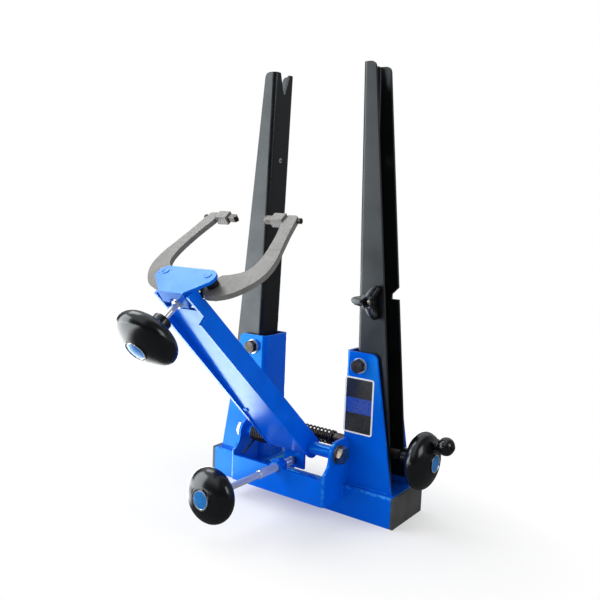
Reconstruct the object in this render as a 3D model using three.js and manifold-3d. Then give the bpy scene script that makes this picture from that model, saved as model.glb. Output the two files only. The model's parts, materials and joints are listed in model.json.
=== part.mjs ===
// Bicycle wheel truing stand, in millimetres, +Z up, +X to the right, +Y away from the user.
// The origin lies under the middle of the base's front wall, on the bench.
import * as THREE from "three";
import { mergeVertices } from "three/addons/utils/BufferGeometryUtils.js";
import Module from "manifold-3d";

const wasm = await Module();
wasm.setup();

// Shared values
const SHEET = 3;
const SEAT = 0.3;
const OVERRUN = 20;
const ROUND = 24;
const HEX = 6;
const BEND_STEPS = 4;
const BEND = 5;
const DEGREE = Math.PI / 180;
const QUARTER = Math.PI / 2;
const SIDES = { left: -1, right: 1 };

// Base channel
const BASE_HALF_LENGTH = 118;
const BASE_DEPTH = 63.5;
const BASE_HEIGHT = 31.7;
const BASE_FRONT = -SHEET / 2;
const BASE_BACK = BASE_FRONT + BASE_DEPTH;
const BASE_GAP_HALF = 46;
const BASE_LIP = 6;
const CAP_WALL = 3.5;
const CAP_PLUG = 12;
const CAP_CORNER = 6;

// Towers on the base, one for each upright
const TOWER_FACE = 53.5;
const TOWER_HEIGHT = 171.6;
const TOWER_TOP_REACH = 90.5;
const TOWER_END_INSET = 4.5;
const TOWER_FOOT_REACH = BASE_HALF_LENGTH - TOWER_END_INSET;
const TOWER_CORNER = 8;
const TOWER_SETBACK = 7.4;
const TOWER_HALF_DEPTH = 21.7;
const TOWER_FRONT = BASE_FRONT + TOWER_SETBACK;
const AXIS_Y = TOWER_FRONT + TOWER_HALF_DEPTH;

// Uprights: tapered channels that lean out as they go down
const UPRIGHT_TOP = 460;
const UPRIGHT_BOTTOM = 40;
const UPRIGHT_TOP_FACE = 54.2;
const UPRIGHT_LEAN_SHARE = 0.0305;
const UPRIGHT_TOP_WIDTH = 14.3;
const UPRIGHT_WIDENING_SHARE = 0.0687;
const UPRIGHT_HALF_DEPTH = 16.75;
const UPRIGHT_CORNER = 6;
const NOTCH_HALF_WIDTH = 8.15;
const NOTCH_DEPTH = 21.5;
const NOTCH_ROOT = 2.2;
const SIGHT_HOLE_RADIUS = 2.6;
const SIGHT_HOLE_DROP = 93;

// Upright pivot bolts
const TILT_X = 70.7;
const TILT_DROP = 13.6;
const TILT_Z = TOWER_HEIGHT - TILT_DROP;
const BOLT_RADIUS = 4;
const BOLT_HOLE = 4.3;
const BOLT_HEAD_RADIUS = 7.5;
const BOLT_HEAD_HEIGHT = 5.5;
const NUT_HEIGHT = 6.5;
const WASHER_RADIUS = 8;
const WASHER = 1.6;

// Spindle that opens and closes the uprights
const SPINDLE_Z = 68;
const SPINDLE_RADIUS = 5;
const SPINDLE_LEFT_END = -82;
const TRUNNION_RADIUS = 6.5;
const TRUNNION_BORE = 5.7;
const TRUNNION_INNER_END = 32;
const TRUNNION_OUTER_END = 76;
const TRUNNION_COLLAR_RADIUS = 8.5;
const TRUNNION_COLLAR = 1;
const TRUNNION_COLLAR_GAP = 0.9;
const TRUNNION_HOLE = 7.3;
const TOWER_SPINDLE_HOLE = 12;
const KNOB_LENGTH = 37;
const SPINDLE_KNOB_BACK = 113.5;

// Spring on the spindle, between the trunnions
const HUB_SPRING_RADIUS = 7.15;
const HUB_SPRING_WIRE = 2.2;
const HUB_SPRING_CURLS = 13;
const CURL_STEPS = 8;
const WIRE_SIDES = 5;

// Round knobs, all alike but for the rod's smaller one
const KNOB_RADIUS = 29.5;
const ROD_KNOB_RADIUS = 27;
const KNOB_BORE_CLEARANCE = 0.3;
const KNOB_BORE_DEPTH = 14;
const BADGE_RADIUS = 9;
const BADGE_RIM = 0.5;
const BADGE_THICKNESS = 0.9;
// Each pair is a share of the knob's radius and a share of its length from the hub
const KNOB_PROFILE_SHARES = [
  [0, 0], [0.27, 0], [0.29, 0.04], [0.29, 0.2], [0.34, 0.26], [0.5, 0.3], [0.7, 0.34],
  [0.865, 0.405], [0.966, 0.5], [1, 0.608], [0.966, 0.716], [0.865, 0.81], [0.7, 0.89],
  [0.52, 0.945], [0.36, 0.973],
];

// Spinner on the spindle knob
const SPINNER_OFFSET = 20;
const SPINNER_LENGTH = 17;
const SPINNER_RADIUS = 9.2;
const SPINNER_BORE = 2.4;
const SPINNER_PIN_RADIUS = 2;
const SPINNER_PIN_DEPTH = 8;
const SPINNER_PIN_HEAD = 3.2;
const SPINNER_PIN_HEAD_HEIGHT = 1;
const SPINNER_GAP = 0.5;
// Each pair is a share of the handle's radius and a share of its length
const SPINNER_PROFILE_SHARES = [
  [0.62, 0], [0.6, 0.1], [0.64, 0.19], [0.84, 0.3], [0.97, 0.45],
  [1, 0.6], [0.94, 0.77], [0.8, 0.89], [0.56, 1],
];

// Thumb screw on the right upright
const THUMB_X = 77;
const THUMB_Z = 224;
const THUMB_HUB = 8;
const THUMB_LOBE_REACH = 14.2;
const THUMB_LOBE_RADIUS = 5.4;
const THUMB_THICKNESS = 9;
const THUMB_FACE = 3;
const THUMB_LOBES = 3;
const THUMB_WEB_SHARE = 1.7;
const THUMB_STAND_OFF = 0.6;
const THUMB_STUD_RADIUS = 3;
const THUMB_HOLE = 3.4;
const THUMB_STUD_END = 9;
const THUMB_NUT_RADIUS = 6;
const THUMB_NUT_HEIGHT = 5;
const GAUGE_NOTCH_Z = 230;
const GAUGE_NOTCH_HALF_HEIGHT = 5;
const GAUGE_NOTCH_DEPTH = 8;

// Label plate on the right tower
const LABEL_X = 71.5;
const LABEL_DROP = 42;
const LABEL_Z = TILT_Z - LABEL_DROP;
const LABEL_WIDTH = 34;
const LABEL_HEIGHT = 59;
const LABEL_CORNER = 3;
const LABEL_THICKNESS = 0.6;

// Bracket in front of the base, which carries the arm and the adjusting rod
const EAR_FACE = 60.8;
const BAR_FRONT = -37.1;
const BAR_BOTTOM = 17.5;
const BAR_TOP = 45;
const ROD_Z = 44.9;
const HUMP_RADIUS = 9;
const HUMP_Z = 42;
const ARM_PIVOT_Y = -12.1;
const ARM_PIVOT_Z = 67.1;
const EAR_ROUND = 14;
const EAR_FRONT_STEP = 5;

// Pivot of the arm
const SHAFT_RADIUS = 5;
const SHAFT_HOLE = 5.3;
const SHAFT_HEAD_RADIUS = 9.2;
const SHAFT_HEAD_HEIGHT = 6.4;
const SHAFT_WASHER_RADIUS = 10;
const SPACER_RADIUS = 6.5;
const ARM_SIDE_GAP = 0.4;

// Torsion spring on the pivot
const ARM_SPRING_RADIUS = 8.3;
const ARM_SPRING_WIRE = 1.8;
const ARM_SPRING_TURNS = 8;
const ARM_SPRING_START = -50;
const ARM_SPRING_END = -30;
const ARM_SPRING_LEG = 26;
const ARM_SPRING_START_ANGLE = -60 * DEGREE;

// Caliper arm, a channel that opens to the rear and narrows to the head
const ARM_ANGLE = 43.3 * DEGREE;
const ARM_HALF_WIDTH = 26.5;
const ARM_NARROWING_SHARE = 0.0243;
const ARM_LENGTH = 250;
const ARM_BACK = -13;
const ARM_FOOT_DEPTH = 22;
const ARM_HEAD_DEPTH = 18.5;
const ARM_TAB_Y = -4;
const ARM_TAB_BOTTOM = 36.5;
const ARM_TAB_HALF_WIDTH = 13;
// The web lies this far in front of the pivot and falls back by a share of its length
const ARM_WEB_FRONT = 8.6;
const ARM_WEB_SLANT_SHARE = 0.046;
const ARM_WRAP_STEPS = 5;
const ARM_RELIEF = 1.9;
const ARM_NOTCH_ALONG = 218;
const PEG_ALONG = 68;
const PEG_DEPTH = 3;
const PEG_RADIUS = 4;
const PEG_LENGTH = 9;

// Adjusting rod
const ROD_RADIUS = 4.5;
const ROD_HOLE = 4.9;
const ROD_THIN_RADIUS = 3.4;
const ROD_STEP_Y = -64;
const ROD_KNOB_BACK = -112.5;
const ROD_END_Y = -9.5;
const ROD_TIP_RADIUS = 4.4;
// Each pair is a share of the tip's radius and a share of its length
const ROD_TIP_SHARES = [[0, 0], [1, 0], [1, 0.45], [0.8, 0.78], [0.25, 1], [0, 1]];
const ROD_NUT_RADIUS = 8.5;
const ROD_NUT_LENGTH = 8;

// Head, in its own frame: x across, y towards the wheel, z square to the calipers
const HEAD_TILT = 38 * DEGREE;
const HEAD_SETBACK = 19.53;
const HEAD_BEHIND_ARM = 28.63;
const HEAD_ALONG = ARM_LENGTH - HEAD_SETBACK;
const HEAD_Y = ARM_PIVOT_Y - Math.cos(ARM_ANGLE) * HEAD_ALONG + Math.sin(ARM_ANGLE) * HEAD_BEHIND_ARM;
const HEAD_Z = ARM_PIVOT_Z + Math.sin(ARM_ANGLE) * HEAD_ALONG + Math.cos(ARM_ANGLE) * HEAD_BEHIND_ARM;
const HEAD_PLATE_UNDER = 11;
const HEAD_HALF_WIDTH = 34;
const HEAD_FRONT_HALF = 15;
const HEAD_REAR_HALF = 25;
const HEAD_FRONT = -27;
const HEAD_CORNER_Y = -6;
const HEAD_SHOULDER_SHARE = 0.745;
const HEAD_SHOULDER_OUT_SHARE = 0.667;
const HEAD_LIP_HALF = 15;
const HEAD_LIP_BOTTOM = 1.5;
const HEAD_LIP_ARCH = 6.8;
const LOWER_PLATE_HALF = 31;
const LOWER_PLATE_FRONT = -12.6;
const LOWER_PLATE_REAR = 9;
const LOWER_PLATE = 2.5;

// Calipers
const CALIPER_THICKNESS = 5;
const CALIPER_GAP = 0.35;
const CALIPER_PIVOT_X = 25;
const CALIPER_PIVOT_Y = -4;
const CALIPER_HALF_WIDTH = 70;
const CALIPER_REACH = 96;
const CALIPER_TAIL = 15.8;
const CALIPER_TAIL_RADIUS = 3.6;
const CALIPER_SWEEP = 12.9;
const PIN_RADIUS = 3;
const PIN_HOLE = 3.35;
const PIN_HEAD_RADIUS = 3.9;
const PIN_HEAD = 0.8;
const PIN_NUT_RADIUS = 6.3;
const PIN_NUT = 5;
const SLEEVE_RADIUS = 5.6;
// Each pair is a share of the half width and a share of the reach
const CALIPER_OUTER_SHARES = [
  [0.37, -0.18], [0.53, -0.165], [0.69, -0.115], [0.82, -0.03], [0.92, 0.075], [0.972, 0.2],
  [0.962, 0.36], [0.905, 0.52], [0.835, 0.73], [0.785, 0.92],
];
const CALIPER_INNER_SHARES = [
  [0.59, 0.88], [0.675, 0.65], [0.722, 0.42], [0.71, 0.27], [0.645, 0.18], [0.5, 0.125], [0.36, 0.1],
];
const CALIPER_END_SHARES = [[0.765, 0.985], [0.725, 1], [0.6, 1], [0.585, 0.985]];
const CALIPER_END_SHARE = 0.585;
const CALIPER_WAIST_SHARE = 0.33;
const CALIPER_STEPS = 3;
const TIP_INNER_X = 27;
const TIP_FRONT_Y = 86;
const TIP_DEPTH = 10;
const TIP_HALF_HEIGHT = 4.5;
const FEELER_END_X = 16;
const FEELER_HALF_HEIGHT = 3;
const FEELER_DEPTH = 6;
const FEELER_NOSE = 2.5;
const TIP_SCREW_RADIUS = 1.5;
const TIP_SCREW_HOLE = 1.9;
const TIP_SCREW_END_SHARE = 0.8;
const TIP_SCREW_HEAD = 2.8;
const TIP_SCREW_HEAD_HEIGHT = 2.4;

// Caliper screw and the crosshead that works both tails
const SCREW_RADIUS = 3;
const SCREW_HOLE = 3.4;
const SCREW_KNOB_BACK = -48;
const SCREW_END = 7;
const SCREW_COLLAR_RADIUS = 4.5;
const SCREW_BLOCK_FRONT = -25.5;
const SCREW_BLOCK_BACK = -20.2;
const SCREW_BLOCK_HALF = 9;
const SCREW_BLOCK_HEIGHT = 7;
const SCREW_RING_BACK = -13.4;
const SCREW_RING = 1.1;
const SCREW_COLLAR_LENGTH = 4;
const CROSSHEAD_GROOVE = 8;
const CROSSHEAD_CORE = 5;
const CROSSHEAD_FLANGE = 9.5;
const CROSSHEAD_FLANGE_WALL = 1.5;

// Colours, roughness and metalness of each finish
const FINISHES = {
  bluePaint: [0x0a5fd0, 0.25, 0.1],
  blackPaint: [0x17181a, 0.55, 0.1],
  blackPlastic: [0x0b0b0c, 0.15, 0],
  chrome: [0xd8dade, 0.12, 1],
  zincSteel: [0xa9a294, 0.35, 1],
  darkSteel: [0x24262a, 0.4, 0.8],
  caliperSteel: [0x83827e, 0.5, 0.5],
  labelPanel: [0x0c0d10, 0.4, 0],
  badgePanel: [0x1c78d0, 0.3, 0.1],
};

function finish(name) {
  const [color, roughness, metalness] = FINISHES[name];
  return new THREE.MeshStandardMaterial({ color, roughness, metalness });
}

// Solids: joins and cuts
function solidOf(geometry) {
  const bare = geometry.clone();
  bare.deleteAttribute("normal");
  bare.deleteAttribute("uv");
  const merged = mergeVertices(bare);
  return new wasm.Manifold(new wasm.Mesh({
    numProp: 3,
    vertProperties: new Float32Array(merged.attributes.position.array),
    triVerts: new Uint32Array(merged.index.array),
  }));
}

function geometryOf(solid) {
  const mesh = solid.getMesh();
  const geometry = new THREE.BufferGeometry();
  geometry.setAttribute("position", new THREE.BufferAttribute(mesh.vertProperties, 3));
  geometry.setIndex(new THREE.BufferAttribute(mesh.triVerts, 1));
  geometry.computeVertexNormals();
  return geometry;
}

function combine(first, rest, step) {
  return geometryOf(rest.reduce((solid, other) => step(solid, solidOf(other)), solidOf(first)));
}

function join(first, ...rest) {
  return combine(first, rest, (solid, other) => solid.add(other));
}

function cut(first, ...rest) {
  return combine(first, rest, (solid, other) => solid.subtract(other));
}

function meet(first, ...rest) {
  return combine(first, rest, (solid, other) => solid.intersect(other));
}

// Solids: basic forms
function box(x0, x1, y0, y1, z0, z1) {
  const geometry = new THREE.BoxGeometry(x1 - x0, y1 - y0, z1 - z0);
  return geometry.translate((x0 + x1) / 2, (y0 + y1) / 2, (z0 + z1) / 2);
}

function extrude(shape, depth, curveSegments = 8) {
  return new THREE.ExtrudeGeometry(shape, { depth, bevelEnabled: false, curveSegments });
}

// An outline drawn in Y and Z, swept along X from x0 to x1
function sweepX(shape, x0, x1, curveSegments) {
  const geometry = extrude(shape, x1 - x0, curveSegments);
  const turn = new THREE.Matrix4().set(0, 0, 1, x0, 1, 0, 0, 0, 0, 1, 0, 0, 0, 0, 0, 1);
  return geometry.applyMatrix4(turn);
}

// An outline drawn in X and Z, swept along Y from y0 to y1
function sweepY(shape, y0, y1, curveSegments) {
  return extrude(shape, y1 - y0, curveSegments).rotateX(QUARTER).translate(0, y1, 0);
}

// An outline drawn in X and Y, swept along Z from z0 to z1
function sweepZ(shape, z0, z1, curveSegments) {
  return extrude(shape, z1 - z0, curveSegments).translate(0, 0, z0);
}

function cylinderX(radius, x0, x1, y, z, sides = ROUND) {
  const geometry = new THREE.CylinderGeometry(radius, radius, x1 - x0, sides);
  return geometry.rotateZ(-QUARTER).translate((x0 + x1) / 2, y, z);
}

function cylinderY(radius, y0, y1, x, z, sides = ROUND) {
  const geometry = new THREE.CylinderGeometry(radius, radius, y1 - y0, sides);
  return geometry.translate(x, (y0 + y1) / 2, z);
}

function cylinderZ(radius, z0, z1, x, y, sides = ROUND) {
  const geometry = new THREE.CylinderGeometry(radius, radius, z1 - z0, sides);
  return geometry.rotateX(QUARTER).translate(x, y, (z0 + z1) / 2);
}

// A turned piece whose profile gives radius and height along Y
function turned(profile, sides = ROUND) {
  return new THREE.LatheGeometry(profile.map(([r, y]) => new THREE.Vector2(r, y)), sides);
}

function mirrored(geometry) {
  const flipped = geometry.clone().scale(-1, 1, 1);
  const index = flipped.index ? flipped.index.array : null;
  if (index) {
    for (let i = 0; i < index.length; i += 3) {
      [index[i], index[i + 2]] = [index[i + 2], index[i]];
    }
  }
  return index ? flipped : mirrored(mergeVertices(geometry));
}

// A piece made for the right side, turned over for the left one
function onSide(side, geometry) {
  return side > 0 ? geometry : mirrored(geometry);
}

function outline(points) {
  return new THREE.Shape(points.map(([x, y]) => new THREE.Vector2(x, y)));
}

// A rectangle whose four corners have the given radii: low-left, low-right, high-right, high-left
function roundedBox(x0, x1, y0, y1, radii) {
  const [a, b, c, d] = radii;
  const shape = new THREE.Shape();
  shape.moveTo(x0 + a, y0);
  shape.lineTo(x1 - b, y0);
  if (b > 0) shape.absarc(x1 - b, y0 + b, b, -QUARTER, 0, false);
  shape.lineTo(x1, y1 - c);
  if (c > 0) shape.absarc(x1 - c, y1 - c, c, 0, QUARTER, false);
  shape.lineTo(x0 + d, y1);
  if (d > 0) shape.absarc(x0 + d, y1 - d, d, QUARTER, 2 * QUARTER, false);
  shape.lineTo(x0, y0 + a);
  if (a > 0) shape.absarc(x0 + a, y0 + a, a, 2 * QUARTER, 3 * QUARTER, false);
  return shape;
}

// A channel that stands up: its web faces -X, its flanges run to +X
function standingChannel(face, reach, halfDepth, z0, z1) {
  const outer = roundedBox(face, reach, -halfDepth, halfDepth, [BEND, 0, 0, BEND]);
  const bend = BEND - SHEET;
  const wall = halfDepth - SHEET;
  const inner = roundedBox(face + SHEET, reach + OVERRUN, -wall, wall, [bend, 0, 0, bend]);
  const tool = sweepZ(inner, z0 - OVERRUN, z1 + OVERRUN, BEND_STEPS);
  return cut(sweepZ(outer, z0, z1, BEND_STEPS), tool);
}

// Wire forms: one unbroken tube through a list of points
function wireSolid(points, wire) {
  const last = points.length - 1;
  const rings = [];
  const tangentAt = (i) => {
    const before = points[i].clone().sub(points[Math.max(i - 1, 0)]).normalize();
    const after = points[Math.min(i + 1, last)].clone().sub(points[i]).normalize();
    return before.add(after).normalize();
  };
  let side = new THREE.Vector3(0, 0, 1);
  let previous = tangentAt(0);
  side.addScaledVector(previous, -side.dot(previous)).normalize();
  for (let i = 0; i <= last; i += 1) {
    const tangent = tangentAt(i);
    side.applyQuaternion(new THREE.Quaternion().setFromUnitVectors(previous, tangent));
    side.addScaledVector(tangent, -side.dot(tangent)).normalize();
    const other = new THREE.Vector3().crossVectors(tangent, side);
    for (let k = 0; k < WIRE_SIDES; k += 1) {
      const angle = (2 * Math.PI * k) / WIRE_SIDES;
      const spot = points[i].clone();
      spot.addScaledVector(side, (wire / 2) * Math.cos(angle));
      spot.addScaledVector(other, (wire / 2) * Math.sin(angle));
      rings.push(spot.x, spot.y, spot.z);
    }
    previous = tangent;
  }
  const faces = [];
  for (let i = 0; i < last; i += 1) {
    for (let k = 0; k < WIRE_SIDES; k += 1) {
      const a = i * WIRE_SIDES + k;
      const b = i * WIRE_SIDES + ((k + 1) % WIRE_SIDES);
      faces.push(a, b, a + WIRE_SIDES, b, b + WIRE_SIDES, a + WIRE_SIDES);
    }
  }
  const end = last * WIRE_SIDES;
  for (let k = 1; k < WIRE_SIDES - 1; k += 1) {
    faces.push(0, k + 1, k);
    faces.push(end, end + k, end + k + 1);
  }
  const geometry = new THREE.BufferGeometry();
  geometry.setAttribute("position", new THREE.Float32BufferAttribute(rings, 3));
  geometry.setIndex(faces);
  geometry.computeVertexNormals();
  return geometry;
}

function printLeastGap(name, points, wire) {
  let least = Infinity;
  for (let i = 0; i < points.length; i += 1) {
    for (let j = i + CURL_STEPS / 2; j < points.length; j += 1) {
      least = Math.min(least, points[i].distanceTo(points[j]) - wire);
    }
  }
  console.log(`${name}: least gap to itself ${least.toFixed(2)} mm`);
}

// A helix about an axis along X, with the angle measured from +Y towards +Z
function helixPoint(x, radius, angle, y, z) {
  return new THREE.Vector3(x, y + radius * Math.cos(angle), z + radius * Math.sin(angle));
}

// The scene graph and its turned frames
const stand = new THREE.Group();
const armFrame = new THREE.Group();
armFrame.position.set(0, ARM_PIVOT_Y, ARM_PIVOT_Z);
armFrame.rotation.x = Math.PI - ARM_ANGLE;
const headFrame = new THREE.Group();
headFrame.position.set(0, HEAD_Y, HEAD_Z);
headFrame.rotation.x = HEAD_TILT;
stand.add(armFrame, headFrame);
stand.updateMatrixWorld(true);

function place(name, geometry, finishName, frame = stand) {
  const mesh = new THREE.Mesh(geometry, finish(finishName));
  mesh.name = name;
  frame.add(mesh);
}

function fromHeadToArm(geometry) {
  const move = armFrame.matrixWorld.clone().invert().multiply(headFrame.matrixWorld);
  return geometry.clone().applyMatrix4(move);
}

// Hexagon-headed fastener along Y, with its head at the front
function bolt(x, z, front, back) {
  const shaft = cylinderY(BOLT_RADIUS, front - BOLT_HEAD_HEIGHT / 2, back, x, z);
  return join(shaft, cylinderY(BOLT_HEAD_RADIUS, front - BOLT_HEAD_HEIGHT, front, x, z, HEX));
}

function ringY(outer, inner, y0, y1, x, z, sides = ROUND) {
  const hole = cylinderY(inner, y0 - OVERRUN, y1 + OVERRUN, x, z);
  return cut(cylinderY(outer, y0, y1, x, z, sides), hole);
}

function ringX(outer, inner, x0, x1, y, z, sides = ROUND) {
  const hole = cylinderX(inner, x0 - OVERRUN, x1 + OVERRUN, y, z);
  return cut(cylinderX(outer, x0, x1, y, z, sides), hole);
}

function ringZ(outer, inner, z0, z1, x, y, sides = ROUND) {
  const hole = cylinderZ(inner, z0 - OVERRUN, z1 + OVERRUN, x, y);
  return cut(cylinderZ(outer, z0, z1, x, y, sides), hole);
}

// Base
function baseChannel() {
  const top = BASE_HEIGHT - SHEET;
  const parts = [
    box(-BASE_HALF_LENGTH, BASE_HALF_LENGTH, BASE_FRONT, BASE_FRONT + BASE_LIP, top, BASE_HEIGHT),
  ];
  for (const side of Object.values(SIDES)) {
    const shelf = box(BASE_GAP_HALF, BASE_HALF_LENGTH, BASE_FRONT, BASE_BACK, top, BASE_HEIGHT);
    const rear = box(BASE_GAP_HALF, BASE_HALF_LENGTH, BASE_BACK - SHEET, BASE_BACK, 0, BASE_HEIGHT);
    parts.push(onSide(side, shelf), onSide(side, rear));
  }
  const front = BASE_FRONT + SHEET;
  return join(box(-BASE_HALF_LENGTH, BASE_HALF_LENGTH, BASE_FRONT, front, 0, BASE_HEIGHT), ...parts);
}

function endCap() {
  const inner = BASE_HALF_LENGTH;
  const outer = inner + CAP_WALL;
  const corners = [0, 0, CAP_CORNER, 0];
  const plate = sweepX(roundedBox(BASE_FRONT, BASE_BACK, 0, BASE_HEIGHT, corners), inner, outer);
  const wall = SHEET + SEAT;
  const plug = box(inner - CAP_PLUG, inner + CAP_WALL / 2, BASE_FRONT + wall, BASE_BACK - wall,
    wall, BASE_HEIGHT - wall);
  const hollow = box(inner - CAP_PLUG - OVERRUN, inner, BASE_FRONT + 2 * wall, BASE_BACK - 2 * wall,
    2 * wall, BASE_HEIGHT - 2 * wall);
  return cut(join(plate, plug), hollow);
}

// Towers
function tower() {
  const channel = standingChannel(TOWER_FACE, TOWER_FOOT_REACH + OVERRUN, TOWER_HALF_DEPTH,
    BASE_HEIGHT, TOWER_HEIGHT).translate(0, AXIS_Y, 0);
  const side = new THREE.Shape();
  side.moveTo(TOWER_FACE - OVERRUN, BASE_HEIGHT);
  side.lineTo(TOWER_FOOT_REACH, BASE_HEIGHT);
  side.lineTo(TOWER_TOP_REACH, TOWER_HEIGHT - TOWER_CORNER);
  side.quadraticCurveTo(TOWER_TOP_REACH, TOWER_HEIGHT, TOWER_TOP_REACH - TOWER_CORNER, TOWER_HEIGHT);
  side.lineTo(TOWER_FACE - OVERRUN, TOWER_HEIGHT);
  const y0 = AXIS_Y - TOWER_HALF_DEPTH - OVERRUN;
  const y1 = AXIS_Y + TOWER_HALF_DEPTH + OVERRUN;
  const hole = cylinderY(BOLT_HOLE, y0, y1, TILT_X, TILT_Z);
  const spindleHole = cylinderX(TOWER_SPINDLE_HOLE, TOWER_FACE - OVERRUN, TOWER_FACE + OVERRUN,
    AXIS_Y, SPINDLE_Z);
  return cut(meet(channel, sweepY(side, y0, y1)), hole, spindleHole);
}

// Uprights
function uprightFace(z) {
  return UPRIGHT_TOP_FACE + (UPRIGHT_TOP - z) * UPRIGHT_LEAN_SHARE;
}

function uprightEdge(z) {
  return uprightFace(z) + UPRIGHT_TOP_WIDTH + (UPRIGHT_TOP - z) * UPRIGHT_WIDENING_SHARE;
}

function leaned(geometry) {
  const spots = geometry.attributes.position;
  for (let i = 0; i < spots.count; i += 1) {
    spots.setX(i, spots.getX(i) + uprightFace(spots.getZ(i)));
  }
  return geometry;
}

function uprightChannel() {
  const reach = uprightEdge(UPRIGHT_BOTTOM);
  const channel = standingChannel(0, reach, UPRIGHT_HALF_DEPTH, UPRIGHT_BOTTOM, UPRIGHT_TOP);
  const corner = UPRIGHT_TOP - UPRIGHT_CORNER;
  const side = new THREE.Shape();
  side.moveTo(0, UPRIGHT_BOTTOM);
  side.lineTo(uprightEdge(UPRIGHT_BOTTOM), UPRIGHT_BOTTOM);
  side.lineTo(uprightEdge(corner), corner);
  side.quadraticCurveTo(uprightEdge(UPRIGHT_TOP), UPRIGHT_TOP,
    uprightEdge(UPRIGHT_TOP) - UPRIGHT_CORNER, UPRIGHT_TOP);
  side.lineTo(0, UPRIGHT_TOP);
  const y1 = UPRIGHT_HALF_DEPTH + OVERRUN;
  return meet(leaned(channel), sweepY(side, -y1, y1)).translate(0, AXIS_Y, 0);
}

function axleNotch() {
  const root = UPRIGHT_TOP - NOTCH_DEPTH;
  const shape = outline([
    [AXIS_Y - NOTCH_HALF_WIDTH, UPRIGHT_TOP], [AXIS_Y - NOTCH_ROOT, root + NOTCH_ROOT],
    [AXIS_Y - NOTCH_ROOT / 2, root], [AXIS_Y + NOTCH_ROOT / 2, root],
    [AXIS_Y + NOTCH_ROOT, root + NOTCH_ROOT], [AXIS_Y + NOTCH_HALF_WIDTH, UPRIGHT_TOP],
    [AXIS_Y + NOTCH_HALF_WIDTH, UPRIGHT_TOP + OVERRUN],
    [AXIS_Y - NOTCH_HALF_WIDTH, UPRIGHT_TOP + OVERRUN],
  ]);
  return sweepX(shape, UPRIGHT_TOP_FACE - OVERRUN, UPRIGHT_TOP_FACE + OVERRUN);
}

function upright(side) {
  const y0 = AXIS_Y - UPRIGHT_HALF_DEPTH - OVERRUN;
  const y1 = AXIS_Y + UPRIGHT_HALF_DEPTH + OVERRUN;
  const face = uprightFace(SPINDLE_Z);
  const sightZ = UPRIGHT_TOP - SIGHT_HOLE_DROP;
  const sightX = uprightFace(sightZ);
  const tools = [
    axleNotch(),
    cylinderY(BOLT_HOLE, y0, y1, TILT_X, TILT_Z),
    cylinderX(TRUNNION_HOLE, face - OVERRUN, face + OVERRUN, AXIS_Y, SPINDLE_Z),
    cylinderX(SIGHT_HOLE_RADIUS, sightX - OVERRUN, sightX + OVERRUN, AXIS_Y, sightZ, ROUND / 2),
  ];
  if (side > 0) {
    const edge = uprightEdge(GAUGE_NOTCH_Z);
    const floor = edge - GAUGE_NOTCH_DEPTH;
    const low = GAUGE_NOTCH_Z - GAUGE_NOTCH_HALF_HEIGHT;
    const notch = outline([
      [edge + OVERRUN, low], [floor, low], [floor, GAUGE_NOTCH_Z],
      [edge + OVERRUN, GAUGE_NOTCH_Z + GAUGE_NOTCH_DEPTH + OVERRUN],
    ]);
    tools.push(sweepY(notch, AXIS_Y, y1));
    tools.push(cylinderY(THUMB_HOLE, y0, AXIS_Y, THUMB_X, THUMB_Z));
  }
  return onSide(side, cut(uprightChannel(), ...tools));
}

// Spindle and trunnions
const TRUNNION_WEB = uprightFace(SPINDLE_Z);

function trunnion() {
  const barrel = cylinderX(TRUNNION_RADIUS, TRUNNION_INNER_END, TRUNNION_OUTER_END, AXIS_Y, SPINDLE_Z);
  const inner = TRUNNION_WEB - TRUNNION_COLLAR_GAP;
  const outer = TRUNNION_WEB + SHEET + TRUNNION_COLLAR_GAP;
  const collars = [[inner - TRUNNION_COLLAR, inner], [outer, outer + TRUNNION_COLLAR]].map(
    ([x0, x1]) => cylinderX(TRUNNION_COLLAR_RADIUS, x0, x1, AXIS_Y, SPINDLE_Z));
  const bore = cylinderX(TRUNNION_BORE, -OVERRUN, TRUNNION_OUTER_END + OVERRUN, AXIS_Y, SPINDLE_Z);
  return cut(join(barrel, ...collars), bore);
}

function knob(radius) {
  const profile = KNOB_PROFILE_SHARES.map(([r, y]) => [r * radius, y * KNOB_LENGTH]);
  const [, face] = profile[profile.length - 1];
  profile.push([BADGE_RADIUS + BADGE_RIM, face], [0, face]);
  return turned(profile, ROUND + CURL_STEPS);
}

function knobFace() {
  const [, share] = KNOB_PROFILE_SHARES[KNOB_PROFILE_SHARES.length - 1];
  return share * KNOB_LENGTH;
}

// A knob with its shaft bore, its hub at y = 0 and its face towards +Y
function boredKnob(shaftRadius, radius = KNOB_RADIUS) {
  const bore = shaftRadius + KNOB_BORE_CLEARANCE;
  return cut(knob(radius), cylinderY(bore, -OVERRUN, KNOB_BORE_DEPTH, 0, 0));
}

function badge() {
  const low = knobFace() + SEAT;
  return turned([[0, low], [BADGE_RADIUS, low], [BADGE_RADIUS, low + BADGE_THICKNESS / 2],
    [BADGE_RADIUS - BADGE_RIM, low + BADGE_THICKNESS], [0, low + BADGE_THICKNESS]]);
}

function towardsX(geometry) {
  return geometry.rotateZ(-QUARTER).translate(SPINDLE_KNOB_BACK, AXIS_Y, SPINDLE_Z);
}

function spinnerHandle() {
  const profile = SPINNER_PROFILE_SHARES.map(([r, y]) => [r * SPINNER_RADIUS, y * SPINNER_LENGTH]);
  const closed = [[SPINNER_BORE, 0], ...profile, [SPINNER_BORE, SPINNER_LENGTH], [SPINNER_BORE, 0]];
  return turned(closed).rotateZ(-QUARTER).translate(SPINNER_BACK, AXIS_Y, SPINDLE_Z + SPINNER_OFFSET);
}

const SPINNER_BACK = SPINDLE_KNOB_BACK + knobFace() + SPINNER_GAP;

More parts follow.
